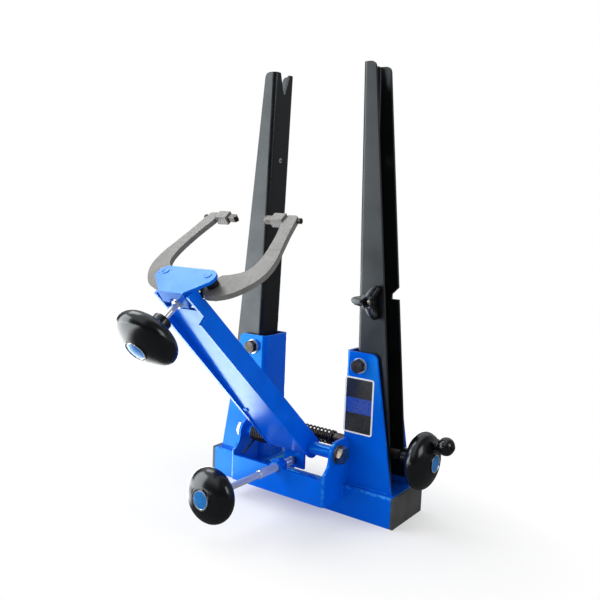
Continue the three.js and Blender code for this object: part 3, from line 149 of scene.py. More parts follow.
class StageSettings(bpy.types.PropertyGroup):
    """Floor, lamps and camera"""

    floor_radius: FloatProperty(name="Floor", description="Radius of the floor", default=4.0,
                                unit="LENGTH")
    key_power: FloatProperty(name="Key", description="Power of the left softbox", default=21.0)
    top_power: FloatProperty(name="Top", description="Power of the softbox above", default=5.0)
    fill_power: FloatProperty(name="Fill", description="Power of the right lamp", default=4.0)
    lens: FloatProperty(name="Lens", description="Focal length for a 36 mm sensor", default=41.81)


# Mesh helpers
def turned(profile, closed=False, steps=None):
    """A solid turned about Z from pairs of radius and height"""
    bm = bmesh.new()
    ring = [bm.verts.new((r, 0, z)) for r, z in profile]
    pairs = list(zip(ring, ring[1:])) + ([(ring[-1], ring[0])] if closed else [])
    edges = [bm.edges.new(pair) for pair in pairs]
    steps = steps or bpy.context.scene.stand_sizes.steps
    bmesh.ops.spin(bm, geom=ring + edges, cent=(0, 0, 0), axis=(0, 0, 1), dvec=(0, 0, 0),
                   angle=TURN, steps=steps, use_merge=True, use_duplicate=False)
    bmesh.ops.remove_doubles(bm, verts=bm.verts, dist=0.002 * MM)
    bmesh.ops.recalc_face_normals(bm, faces=bm.faces)
    return bm


def in_mm(pairs):
    """Pairs written in millimetres, as metres"""
    return [(r * MM, z * MM) for r, z in pairs]


def eased(points, parts=5):
    """More points on a smooth line through the given ones"""
    line = [Vector(p) for p in points]
    found = []
    for i in range(len(line) - 1):
        a, b = line[max(i - 1, 0)], line[i]
        c, d = line[i + 1], line[min(i + 2, len(line) - 1)]
        for k in range(parts):
            t = k / parts
            found.append(0.5 * ((2 * b) + (c - a) * t + (2 * a - 5 * b + 4 * c - d) * t ** 2
                                + (3 * b - a - 3 * c + d) * t ** 3))
    return [tuple(p) for p in found] + [tuple(line[-1])]


def soften(bm, width, segments=2, least=32, test=None):
    """Rounds the sharp edges and marks the new faces, so that a finish can paint an edge highlight
    there, and painted shade on the calipers
    """
    layer = bm.loops.layers.float.get("edge") or bm.loops.layers.float.new("edge")
    sharp = [e for e in bm.edges if e.is_manifold and e.calc_face_angle() > math.radians(least)
             and (test is None or test(e))]
    made = bmesh.ops.bevel(bm, geom=sharp, offset=width, offset_type="OFFSET", segments=segments,
                           profile=0.5, affect="EDGES", material=-1, clamp_overlap=True)
    for face in made["faces"]:
        for loop in face.loops:
            loop[layer] = 1.0
    return bm


def copied(node):
    """A merged copy of a CAD node's mesh, with its flat faces whole"""
    bm = bmesh.new()
    bm.from_mesh(frame["nodes"][node].data)
    bmesh.ops.remove_doubles(bm, verts=bm.verts, dist=0.002 * MM)
    bmesh.ops.dissolve_limit(bm, angle_limit=math.radians(0.6), verts=bm.verts, edges=bm.edges)
    return bm


def along_x(x, y=AXIS_Y, z=SPINDLE_Z):
    """Turns a piece's Z to +X and sets its foot there"""
    return Matrix.Translation((x, y, z)) @ Matrix.Rotation(math.pi / 2, 4, "Y")


def along_y(x, y, z):
    """Turns a piece's Z to +Y and sets its foot there"""
    return Matrix.Translation((x, y, z)) @ Matrix.Rotation(-math.pi / 2, 4, "X")


def against_y(x, y, z):
    """Turns a piece's Z to -Y and sets its foot there"""
    return Matrix.Translation((x, y, z)) @ Matrix.Rotation(math.pi / 2, 4, "X")


def placed(bm, matrix):
    """Moves a mesh, and turns its faces back out where the matrix mirrors it"""
    bmesh.ops.transform(bm, matrix=matrix, verts=bm.verts)
    if matrix.determinant() < 0:
        bmesh.ops.reverse_faces(bm, faces=bm.faces)
    return bm


def mirrored(sign):
    """Mirrors X for the left side"""
    return Matrix.Scale(sign, 4, (1, 0, 0))


def merged(*parts):
    """Several meshes as one piece"""
    whole = bmesh.new()
    for part in parts:
        mesh = bpy.data.meshes.new("part")
        part.to_mesh(mesh)
        part.free()
        whole.from_mesh(mesh)
        bpy.data.meshes.remove(mesh)
    return whole


def finished(bm, name, body, slot, materials=None, smooth=38):
    """Makes the piece's object, with its finish, on its body"""
    mesh = bpy.data.meshes.new(name)
    bm.normal_update()
    bm.to_mesh(mesh)
    bm.free()
    mesh.shade_smooth()
    mesh.set_sharp_from_angle(angle=math.radians(smooth))
    piece = bpy.data.objects.new(name, mesh)
    bpy.context.scene.collection.objects.link(piece)
    for material in materials or [FINISHES[slot]]:
        mesh.materials.append(material)
    weighted = piece.modifiers.new("Weighted normals", "WEIGHTED_NORMAL")
    weighted.keep_sharp = True
    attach(piece, body)
    return piece


def dress(bm, node, materials=None, smooth=38):
    """Makes the piece that stands for a CAD node"""
    body = frame["nodes"][node]["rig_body"]
    piece = finished(bm, f"{node}_dressed", body, SLOTS[node], materials, smooth)
    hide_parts(node)
    return piece


def lathe(node, profile, place, **options):
    """Makes a turned piece for a CAD node, from pairs in millimetres"""
    dress(placed(turned(in_mm(profile), **options), place), node)


def hexagon(corner, height, bore=0.0, both=False):
    """A hexagon head or nut on Z: a turned blank with chamfered faces, cut to six flats"""
    flat = corner * math.cos(math.pi / 6)
    drop = (corner - flat) * 0.6
    rim = [(corner, drop if both else 0), (corner, height - drop), (flat * 0.97, height)]
    if both:
        rim.insert(0, (flat * 0.97, 0))
    profile = [(bore, 0), *rim, (bore, height)]
    bm = turned(profile, closed=bore > 0)
    for i in range(6):
        turn = i * TURN / 6
        normal = Vector((math.cos(turn), math.sin(turn), 0))
        cut = bmesh.ops.bisect_plane(bm, geom=bm.verts[:] + bm.edges[:] + bm.faces[:],
                                     plane_co=normal * flat, plane_no=normal, clear_outer=True)
        edges = [e for e in cut["geom_cut"] if isinstance(e, bmesh.types.BMEdge)]
        bmesh.ops.edgeloop_fill(bm, edges=edges)
    bmesh.ops.recalc_face_normals(bm, faces=bm.faces)
    return soften(bm, 0.16 * MM, 2, least=40)


def thread(radius, low, high, pitch, depth):
    """Profile of a threaded stretch, as pairs of radius and height"""
    count = max(int((high - low) / pitch), 1)
    step = (high - low) / count
    points = []
    for i in range(count):
        z = low + i * step
        points += [(radius - depth, z), (radius, z + 0.4 * step), (radius, z + 0.6 * step)]
    return points + [(radius - depth, high)]


def coil(radius, wire, runs, steps=20, sides=8):
    """A spring on Z, wound as the list of turns and pitch says"""
    bm = bmesh.new()
    across = Matrix.Translation((radius, 0, 0)) @ Matrix.Rotation(math.pi / 2, 4, "X")
    made = bmesh.ops.create_circle(bm, segments=sides, radius=wire / 2, matrix=across)
    ring = made["verts"]
    last = ring + list({e for v in ring for e in v.link_edges})
    for turns, pitch in runs:
        count = max(round(turns * steps), 1)
        spun = bmesh.ops.spin(bm, geom=last, cent=(0, 0, 0), axis=(0, 0, 1),
                              dvec=(0, 0, pitch / steps), angle=turns * TURN, steps=count,
                              use_merge=False, use_duplicate=False)
        last = spun["geom_last"]
    bmesh.ops.holes_fill(bm, edges=[e for e in bm.edges if e.is_boundary], sides=0)
    bmesh.ops.recalc_face_normals(bm, faces=bm.faces)
    return bm


def bead(start, end, radius):
    """A weld bead from start to end, with its ripples"""
    start, end = Vector(start), Vector(end)
    length = (end - start).length
    ripples = max(round(length / (radius * 1.15)), 2)
    profile = [(0, 0)]
    for i in range(ripples):
        for share, swell in ((0.05, 0.80), (0.3, 0.98), (0.7, 1.0), (0.95, 0.84)):
            ends = min((i + share) / ripples, 1 - (i + share) / ripples) * length / radius
            profile.append((radius * swell * min(1, 0.35 + ends), (i + share) * length / ripples))
    profile.append((0, length))
    bm = turned(profile, steps=14)
    aim = (end - start).to_track_quat("Z", "Y").to_matrix().to_4x4()
    return placed(bm, Matrix.Translation(start) @ aim)


# Finishes
class Nodes:
    """Short ways to add and join nodes in one tree"""

    def __init__(self, tree):
        self.tree = tree
        tree.nodes.clear()

    def add(self, kind):
        return self.tree.nodes.new(f"ShaderNode{kind}")

    def put(self, socket, value):
        """Links an output to the socket, or sets a plain value"""
        if isinstance(value, bpy.types.NodeSocket):
            self.tree.links.new(value, socket)
        else:
            socket.default_value = value

    def fill(self, sockets, values):
        for socket, value in zip(sockets, values):
            self.put(socket, value)

    def span(self, value, low, high, to_low=0.0, to_high=1.0, smooth=False):
        """The range from low to high, mapped to the second one"""
        node = self.add("MapRange")
        if smooth:
            node.interpolation_type = "SMOOTHSTEP"
        self.fill(node.inputs[:5], (value, low, high, to_low, to_high))
        return node.outputs["Result"]

    def reckon(self, operation, *values):
        """One sum of numbers"""
        node = self.add("Math")
        node.operation = operation
        self.fill(node.inputs, values)
        return node.outputs["Value"]

    def between(self, share, first, second):
        """A number between two, by share"""
        node = self.add("Mix")
        self.fill((node.inputs[0], *node.inputs[2:4]), (share, first, second))
        return node.outputs[0]


class Finish(Nodes):
    """Nodes of one finish, on Object coordinates"""

    def __init__(self, name, color, roughness, metallic=0.0, **inputs):
        self.material = bpy.data.materials.new(name)
        self.material.use_nodes = True
        super().__init__(self.material.node_tree)
        self.shader = self.add("BsdfPrincipled")
        self.put(self.add("OutputMaterial").inputs["Surface"], self.shader.outputs["BSDF"])
        self.color = (*color, 1.0)
        self.shader.inputs["Base Color"].default_value = self.color
        self.shader.inputs["Roughness"].default_value = roughness
        self.shader.inputs["Metallic"].default_value = metallic
        for key, value in inputs.items():
            socket = key.replace("_", " ").title().replace("Ior", "IOR")
            self.shader.inputs[socket].default_value = value
        self.place = self.add("TexCoord").outputs["Object"]

    def noise(self, scale, detail=3.0, stretch=(1, 1, 1), turn=(0, 0, 0)):
        """Noise with about scale grains a metre, drawn out along an axis by stretch"""
        mapping = self.add("Mapping")
        self.put(mapping.inputs["Vector"], self.place)
        mapping.inputs["Rotation"].default_value = turn
        mapping.inputs["Scale"].default_value = stretch
        node = self.add("TexNoise")
        self.put(node.inputs["Vector"], mapping.outputs["Vector"])
        node.inputs["Scale"].default_value = scale
        node.inputs["Detail"].default_value = detail
        return node.outputs["Fac"]

    def clouds(self, scale, detail, low=0.0, high=1.0):
        """The middle of the noise, spread from low to high"""
        return self.span(self.noise(scale, detail), 0.3, 0.7, low, high)

    def pits(self, scale):
        """Small round cells, for pits and dimples"""
        node = self.add("TexVoronoi")
        self.put(node.inputs["Vector"], self.place)
        node.inputs["Scale"].default_value = scale
        return node.outputs["Distance"]

    def mix(self, share, first, second):
        """A colour between two, by share"""
        node = self.add("Mix")
        node.data_type = "RGBA"
        self.fill((node.inputs[0], *node.inputs[6:8]), (share, first, second))
        return node.outputs[2]

    def shade(self, share):
        """The base colour times share, for a darker or lighter patch"""
        return (*[min(c * share, 1.0) for c in self.color[:3]], 1.0)

    def edges(self):
        """1 on rounded edges, 0 elsewhere"""
        node = self.add("Attribute")
        node.attribute_name = "edge"
        return node.outputs["Fac"]

    def tint(self, value):
        self.put(self.shader.inputs["Base Color"], value)

    def dull(self, value):
        self.put(self.shader.inputs["Roughness"], value)

    def relief(self, *layers):
        """Bumps, each given as height, strength and depth in metres"""
        normal = None
        for height, strength, depth in layers:
            node = self.add("Bump")
            node.inputs["Strength"].default_value = strength
            node.inputs["Distance"].default_value = depth
            self.put(node.inputs["Height"], height)
            if normal is not None:
                self.put(node.inputs["Normal"], normal)
            normal = node.outputs["Normal"]
        self.put(self.shader.inputs["Normal"], normal)
        return self.material


def blue_paint(colours):
    """Gloss powder coat: orange peel, faint clouding, and a painted highlight in patches on the
    edges
    """
    paint = Finish("Blue powder coat", colours.blue, 0.2, ior=1.6,
                   specular_tint=(0.05, 0.85, 1.0, 1.0))
    cloud = paint.clouds(38, 4)
    body = paint.mix(cloud, paint.shade(0.92), paint.shade(1.07))
    # Painted highlight: lighter blue in patches on the rounded edges
    edge_highlight = paint.reckon("MULTIPLY", paint.edges(), paint.span(paint.noise(240, 5), 0.42, 0.66))
    body = paint.mix(paint.reckon("MULTIPLY", edge_highlight, 0.42), body, (0.08, 0.40, 0.86, 1.0))
    specks = paint.span(paint.noise(1500, 2), 0.74, 0.80)
    paint.tint(paint.mix(paint.reckon("MULTIPLY", specks, 0.35), body, paint.shade(0.55)))
    paint.dull(paint.span(paint.noise(90, 5), 0.25, 0.75, 0.14, 0.26))
    return paint.relief((paint.noise(620, 2), 0.55, 0.06 * MM),
                        (paint.noise(2600, 3), 0.3, 0.02 * MM))


def black_paint(colours):
    """Satin powder coat with a fine sandy texture and a painted grey highlight in patches on the
    edges
    """
    paint = Finish("Black powder coat", colours.black, 0.4, specular_ior_level=0.55,
                   specular_tint=(0.84, 0.95, 1.0, 1.0))
    cloud = paint.clouds(30, 5)
    body = paint.mix(cloud, paint.shade(0.8), paint.shade(1.3))
    patchy = paint.span(paint.noise(200, 5), 0.35, 0.7, 0.25, 1.0)
    # Painted highlight: grey in patches on the rounded edges
    edge_highlight = paint.reckon("MULTIPLY", paint.edges(), patchy)
    scuffs = paint.span(paint.noise(120, 6, (1, 1, 0.12)), 0.66, 0.74, 0.0, 0.3)
    body = paint.mix(scuffs, body, (0.02, 0.021, 0.023, 1.0))
    paint.tint(paint.mix(edge_highlight, body, (0.03, 0.032, 0.035, 1.0)))
    paint.dull(paint.clouds(60, 6, 0.3, 0.42))
    return paint.relief((paint.noise(2100, 4), 0.5, 0.06 * MM), (paint.pits(1300), 0.2, 0.05 * MM))


def black_plastic(colours):
    """Gloss moulded plastic: faint flow marks and fine rubs"""
    plastic = Finish("Black moulded plastic", colours.plastic, 0.3, specular_ior_level=0.6,
                     specular_tint=(0.88, 0.96, 1.0, 1.0))
    flow = plastic.clouds(24, 4)
    plastic.tint(plastic.mix(flow, plastic.shade(0.8), plastic.shade(1.5)))
    rubs = plastic.span(plastic.noise(160, 6, (1, 0.15, 1), (0.4, 0.2, 0.7)), 0.55, 0.75)
    plastic.dull(plastic.span(rubs, 0.0, 1.0, 0.19, 0.29))
    return plastic.relief((plastic.noise(330, 3), 0.15, 0.03 * MM),
                          (plastic.noise(3200, 2), 0.15, 0.008 * MM))


def black_rubber(colours):
    """Matt grey-black caps: sandy texture and pale scuffs"""
    rubber = Finish("Black cap plastic", colours.cap, 0.55, specular_ior_level=0.4)
    cloud = rubber.clouds(60, 5)
    scuffs = rubber.span(rubber.noise(180, 6, (1, 1, 0.3)), 0.6, 0.75, 0.0, 0.4)
    body = rubber.mix(cloud, rubber.shade(0.85), rubber.shade(1.2))
    rubber.tint(rubber.mix(scuffs, body, rubber.shade(1.8)))
    rubber.dull(rubber.clouds(90, 5, 0.48, 0.62))
    return rubber.relief((rubber.noise(1800, 4), 0.5, 0.06 * MM))


def chrome(colours):
    """Bright plating with a faint haze and drawn lines"""
    metal = Finish("Bright chrome", colours.chrome, 0.07, 0.65)
    haze = metal.span(metal.noise(140, 5), 0.35, 0.7)
    metal.tint(metal.mix(haze, metal.shade(0.93), metal.shade(1.06)))
    metal.dull(metal.span(haze, 0.0, 1.0, 0.05, 0.13))
    return metal.relief((metal.noise(900, 3, (1, 0.05, 1)), 0.12, 0.012 * MM))


def zinc_steel(colours):
    """Warm zinc plating, mottled, with turned lines and a painted highlight on the edges"""
    metal = Finish("Warm zinc plating", colours.zinc, 0.3, 1.0)
    mottle = metal.clouds(420, 5)
    body = metal.mix(mottle, metal.shade(0.6), metal.shade(1.35))
    # Painted highlight: lighter warm grey on every rounded edge
    edge_highlight = metal.reckon("MULTIPLY", metal.edges(), 0.6)
    metal.tint(metal.mix(edge_highlight, body, (0.62, 0.56, 0.46, 1.0)))
    metal.dull(metal.clouds(260, 4, 0.22, 0.42))
    return metal.relief((metal.noise(1500, 3), 0.35, 0.03 * MM))


def dark_steel(colours):
    """Blackened steel: oily sheen, brown cast and a painted highlight in patches on the edges"""
    metal = Finish("Blackened steel", colours.dark, 0.34, 0.85)
    patch = metal.clouds(300, 5)
    body = metal.mix(patch, metal.shade(0.7), (0.075, 0.064, 0.055, 1.0))
    # Painted highlight: lighter grey in patches on the rounded edges
    edge_highlight = metal.reckon("MULTIPLY", metal.edges(), metal.clouds(500, 4, 0.2, 0.9))
    metal.tint(metal.mix(edge_highlight, body, (0.19, 0.185, 0.18, 1.0)))
    metal.dull(metal.clouds(180, 4, 0.26, 0.42))
    return metal.relief((metal.noise(1900, 4), 0.4, 0.03 * MM))


def caliper_steel(colours):
    """Tumbled forged steel: fine pits, soft clouds, and painted shade on the rims"""
    metal = Finish("Tumbled steel", colours.caliper, 0.42, 0.08, specular_ior_level=0.5)
    cloud = metal.clouds(70, 6)
    body = metal.mix(cloud, metal.shade(0.84), metal.shade(1.16))
    grain = metal.span(metal.noise(1400, 4), 0.35, 0.65)
    body = metal.mix(metal.reckon("MULTIPLY", grain, 0.2), body, metal.shade(1.3))
    pits = metal.span(metal.pits(1100), 0.08, 0.2, 0.6, 0.0)
    body = metal.mix(pits, body, metal.shade(0.7))
    # Painted shade: the rounded rims darker
    metal.tint(metal.mix(metal.reckon("MULTIPLY", metal.edges(), 0.35), body, metal.shade(0.4)))
    metal.dull(metal.clouds(420, 5, 0.36, 0.52))
    return metal.relief((metal.noise(700, 4), 0.3, 0.04 * MM), (metal.pits(1100), 0.12, 0.03 * MM))


def printed(name, color):
    """Printed film under a thin clear layer"""
    film = Finish(name, color, 0.3, coat_weight=0.5, coat_roughness=0.05)
    film.tint(film.mix(film.clouds(200, 3), film.shade(0.94), film.shade(1.06)))
    film.dull(film.clouds(500, 3, 0.24, 0.36))
    return film.relief((film.noise(700, 2), 0.2, 0.02 * MM))


def enamel(name, color):
    """Blue enamel of the round badges"""
    layer = Finish(name, color, 0.18, 0.35, coat_weight=0.8, coat_roughness=0.04)
    layer.tint(layer.mix(layer.clouds(900, 3), layer.shade(0.8), layer.shade(1.25)))
    layer.dull(layer.clouds(400, 3, 0.14, 0.26))
    return layer.relief((layer.noise(1500, 2), 0.15, 0.02 * MM))


# Operators for the finishes and each group of pieces
class StandOperator:
    bl_options = {"REGISTER", "UNDO"}

    def execute(self, context):
        self.make(context.scene.stand_sizes, context.scene.stand_colours)
        return {"FINISHED"}


class STAND_OT_finishes(StandOperator, bpy.types.Operator):
    """Make every finish of the stand"""

    bl_idname = "stand.finishes"
    bl_label = "Finishes"

    def make(self, sizes, colours):
        for build in (blue_paint, black_paint, black_plastic, chrome, zinc_steel, dark_steel,
                      caliper_steel):
            FINISHES[build.__name__] = build(colours)
        FINISHES["cap"] = black_rubber(colours)
        FINISHES["badge"] = enamel("Badge enamel", colours.badge)
        FINISHES["label"] = printed("Label border", colours.label_light)
        FINISHES["label_panel"] = printed("Label panel", colours.label_dark)
        FINISHES["label_band"] = printed("Label band", colours.label_band)


class STAND_OT_base(StandOperator, bpy.types.Operator):
    """Folded base with its end caps, bracket and towers"""

    bl_idname = "stand.base"
    bl_label = "Base, bracket and towers"

    def make(self, sizes, colours):
        def near(value, place):
            return abs(value - place) < 0.1 * MM

        def middle_and_rise(edge):
            first, second = (vert.co for vert in edge.verts)
            return (first + second) / 2, abs(first.z - second.z)

        def top_fold(edge):
            middle, rise = middle_and_rise(edge)
            outer = near(middle.y, BASE_FRONT) or near(middle.y, BASE_REAR)
            return rise < 0.01 * MM and outer and near(middle.z, BASE_TOP)

        def upright_fold(edge):
            middle, rise = middle_and_rise(edge)
            return rise > 5 * MM and near(middle.y, BAR_FRONT) and near(abs(middle.x), EAR_FACE)

        base = soften(copied("base_channel"), sizes.bend, 4, test=top_fold)
        dress(soften(base, sizes.edge), "base_channel")
        bracket = soften(copied("arm_bracket"), sizes.bend, 4, test=upright_fold)
        dress(soften(bracket, sizes.edge), "arm_bracket")
        for side in SIDES:
            cap = soften(copied(f"end_cap_{side}"), 0.9 * MM, 3)
            dress(cap, f"end_cap_{side}", [FINISHES["cap"]])
            dress(soften(copied(f"tower_{side}"), sizes.edge), f"tower_{side}")


class STAND_OT_welds(StandOperator, bpy.types.Operator):
    """Painted weld beads at the towers' feet and at the bracket"""

    bl_idname = "stand.welds"
    bl_label = "Weld beads"

    def make(self, sizes, colours):
        radius = sizes.weld
        low, high = TOWER_FACE + 6 * MM, TOWER_FOOT - 2 * MM
        foot_z = BASE_TOP + 0.2 * MM
        ear_x = EAR_FACE + 0.3 * MM
        front, rear, inner = TOWER_FRONT - 0.2 * MM, TOWER_REAR + 0.2 * MM, TOWER_FACE - 0.2 * MM
        inner_front, inner_rear = TOWER_FRONT + 7 * MM, TOWER_REAR - 7 * MM
        base_y, tower_y = BASE_FRONT - 0.3 * MM, TOWER_FRONT - 0.3 * MM
        for side, sign in SIDES.items():
            def at(x, y, z):
                return (sign * x, y, z)
            feet = [
                bead(at(low, front, foot_z), at(high, front, foot_z), radius),
                bead(at(low, rear, foot_z), at(high, rear, foot_z), radius),
                bead(at(inner, inner_front, foot_z), at(inner, inner_rear, foot_z), radius),
            ]
            finished(merged(*feet), f"tower_weld_{side}", "frame", "blue_paint")
            ear = [
                bead(at(ear_x, base_y, 19 * MM), at(ear_x, base_y, 31 * MM), radius * 0.8),
                bead(at(ear_x, tower_y, 36 * MM), at(ear_x, tower_y, 78 * MM), radius * 0.7),
            ]
            finished(merged(*ear), f"ear_weld_{side}", "frame", "blue_paint")


class STAND_OT_uprights(StandOperator, bpy.types.Operator):
    """Notched uprights with their pivot bolts"""

    bl_idname = "stand.uprights"
    bl_label = "Uprights"

    def make(self, sizes, colours):
        corner, head_height, nut_height, bore = 7.5 * MM, 5.5 * MM, 6.5 * MM, 4.3 * MM
        ring = in_mm([(4.3, 0), (8, 0), (8, 1.6), (4.3, 1.6)])
        shaft = in_mm([(0, -3), (3.6, -3), (4, -2.4), (4, 51.2), (3.6, 51.8), (0, 51.8)])
        seat = TOWER_FRONT - 1.9 * MM
        for side, sign in SIDES.items():
            dress(soften(copied(f"upright_{side}"), sizes.edge), f"upright_{side}")
            x = sign * TILT_X
            washer = soften(turned(ring, closed=True), 0.25 * MM)
            dress(placed(washer, against_y(x, TOWER_FRONT, TILT_Z)), f"upright_washer_{side}")
            head = placed(hexagon(corner, head_height), against_y(x, seat, TILT_Z))
            stem = placed(turned(shaft, steps=32), along_y(x, seat, TILT_Z))
            dress(merged(head, stem), f"upright_bolt_{side}")
            nut = placed(hexagon(corner, nut_height, bore), along_y(x, TOWER_REAR, TILT_Z))
            dress(nut, f"upright_nut_{side}")


def knob_profile(radius, length):
    """Half outline of a round knob, from its hub to the middle of its face"""
    shares = [
        (0.27, 0), (0.29, 0.02), (0.29, 0.19), (0.3, 0.235), (0.36, 0.265), (0.5, 0.3), (0.7, 0.34),
        (0.865, 0.405), (0.966, 0.5), (1, 0.608), (0.966, 0.716), (0.865, 0.81), (0.7, 0.89),
        (0.52, 0.945), (0.42, 0.965),
    ]
    face = KNOB_FACE_SHARE * length
    outer = eased([*[(r * radius, z * length) for r, z in shares], (10.6 * MM, face)], 4)
    lip = face + 1.1 * MM
    return [(0, 0), *outer, (10.4 * MM, lip - 0.3 * MM), (10.1 * MM, lip), (9.8 * MM, lip),
            (9.5 * MM, lip - 0.3 * MM), (9.3 * MM, face - 0.3 * MM), (0, face - 0.3 * MM)]


def badge_parts(node, matrix, face):
    """Plain enamel disc in a bright rim"""
    body = frame["nodes"][node]["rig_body"]
    low = face + 0.3 * MM
    disc = [(0, low), (8.4 * MM, low), (8.4 * MM, low + 0.2 * MM), (7.5 * MM, low + 0.35 * MM),
            (5 * MM, low + 0.5 * MM), (2.5 * MM, low + 0.58 * MM), (0, low + 0.6 * MM)]
    dress(placed(turned(disc), matrix), node)
    rim = [(8.45 * MM, low), (9.1 * MM, low), (9.1 * MM, low + 0.3 * MM),
           (8.9 * MM, low + 0.5 * MM), (8.65 * MM, low + 0.5 * MM), (8.45 * MM, low + 0.3 * MM)]
    finished(placed(turned(rim, closed=True), matrix), f"{node}_rim", body, "chrome")


class STAND_OT_knobs(StandOperator, bpy.types.Operator):
    """Three round knobs with plain badges, and the spinner"""

    bl_idname = "stand.knobs"
    bl_label = "Knobs and spinner"

    def make(self, sizes, colours):
        places = {
            "spindle_knob": along_x(SPINDLE_KNOB_BACK),
            "rod_knob": against_y(0, ROD_KNOB_BACK, ROD_Z),
            "caliper_knob": HEAD @ against_y(0, SCREW_KNOB_BACK, 0),
        }
        face = KNOB_FACE_SHARE * sizes.knob_length
        for node, matrix in places.items():
            radius = sizes.rod_knob_radius if node == "rod_knob" else sizes.knob_radius
            knob = turned(knob_profile(radius, sizes.knob_length))
            dress(placed(knob, matrix), node, smooth=50)
            badge_parts(node.replace("knob", "badge"), matrix, face)
        grip = [(0.62, 0), (0.62, 0.03), (0.6, 0.1), (0.64, 0.19), (0.84, 0.3), (0.97, 0.45),
                (1, 0.6), (0.94, 0.77), (0.8, 0.89), (0.66, 0.96), (0.56, 1)]
        radius, length = sizes.spinner_radius, sizes.spinner_length
        outer = eased([(r * radius, z * length) for r, z in grip], 3)
        profile = [(2.4 * MM, 0), *outer, (2.4 * MM, length)]
        matrix = along_x(SPINDLE_KNOB_BACK + face + 0.5 * MM, AXIS_Y, SPINNER_Z)
        dress(placed(turned(profile, closed=True), matrix), "spinner_handle", smooth=50)
        top = length + 0.3 * MM
        pin = [(0, -7.5 * MM), (1.8 * MM, -7.5 * MM), (2 * MM, -7.2 * MM), (2 * MM, top),
               (3.2 * MM, top), (3.2 * MM, top + 0.5 * MM), (2.8 * MM, top + 1 * MM),
               (1.5 * MM, top + 1 * MM), (1.2 * MM, top + 0.5 * MM), (0, top + 0.5 * MM)]
        dress(placed(turned(pin), matrix), "spinner_pin")


class STAND_OT_spindle(StandOperator, bpy.types.Operator):
    """Threaded spindle, trunnions and the spring between them"""

    bl_idname = "stand.spindle"
    bl_label = "Spindle and spring"

    def make(self, sizes, colours):
        radius, pitch, depth = 5, 2, 0.55
        profile = [(0, -82), (4.0, -82), *thread(radius, -81.2, -40, pitch, depth), (4.4, -39.5),
                   (4.4, 39.5), *thread(radius, 40, 110, pitch, depth), (4.9, 111), (4.9, 127.2),
                   (0, 127.2)]
        lathe("spindle", profile, along_x(0), steps=40)
        web = 66.156
        end = TRUNNION_END
        barrel = [(5.7, end), (6.2, end), (6.5, end + 0.4), (6.5, web - 1.9), (8.3, web - 1.9),
                  (8.5, web - 1.7), (8.5, web - 1.1), (8.3, web - 0.9), (6.5, web - 0.9),
                  (6.5, web + 3.9), (8.3, web + 3.9), (8.5, web + 4.1), (8.5, web + 4.7),
                  (8.3, web + 4.9), (6.5, web + 4.9), (6.5, 75.6), (6.2, 76), (5.7, 76)]
        for side, sign in SIDES.items():
            lathe(f"trunnion_{side}", barrel, mirrored(sign) @ along_x(0), closed=True)
        wire = sizes.wire
        span = 2 * (end - 0.3) * MM - wire
        end_turns, end_pitch = 1.5, wire * 1.02
        open_pitch = (span - 2 * end_turns * end_pitch) / sizes.curls
        spring = coil(7.15 * MM, wire, [(end_turns, end_pitch), (sizes.curls, open_pitch),
                                        (end_turns, end_pitch)])
        dress(placed(spring, along_x(-span / 2)), "hub_spring", smooth=60)


class STAND_OT_thumb_screw(StandOperator, bpy.types.Operator):
    """Three-lobed thumb screw on the right upright"""

    bl_idname = "stand.thumb_screw"
    bl_label = "Thumb screw"

    def make(self, sizes, colours):
        x, z, back = THUMB_X, THUMB_Z, UPRIGHT_FRONT - 0.6 * MM
        section = [(3.4, 0), (4.2, 0), (9.5, 0), (11.5, 0.3), (12, 1.4), (12, 6.8), (11.4, 8.2),
                   (9, 8.7), (6.5, 9), (5.8, 9), (5.0, 9), (4.6, 8.4), (4.4, 6.4), (3.4, 6.4)]
        knob = turned(in_mm(section), closed=True, steps=96)
        bore, rim, waist, swell, lobes = 4.2 * MM, 12 * MM, 8.2 * MM, 11.2 * MM, 3
        for vert in knob.verts:
            radius = math.hypot(vert.co.x, vert.co.y)
            turn = math.atan2(vert.co.y, vert.co.x)
            reach = waist + swell * (0.5 + 0.5 * math.cos(lobes * (turn - math.pi))) ** 2.6
            if radius > bore:
                new = bore + (radius - bore) * (reach - bore) / (rim - bore)
                vert.co.x *= new / radius
                vert.co.y *= new / radius
        dress(placed(knob, against_y(x, back, z)), "thumb_knob", smooth=45)
        stud = [(0, 0), *thread(3, 0.4, 16.4, 1, 0.35), (2.6, 16.45), (0, 16.45)]
        lathe("thumb_stud", stud, along_y(x, back - 4.5 * MM, z), steps=32)
        corner, height, hole = 6 * MM, 5 * MM, 3.4 * MM
        nut = hexagon(corner, height, hole, both=True)
        dress(placed(nut, along_y(x, UPRIGHT_INSIDE + 0.3 * MM, z)), "thumb_nut")


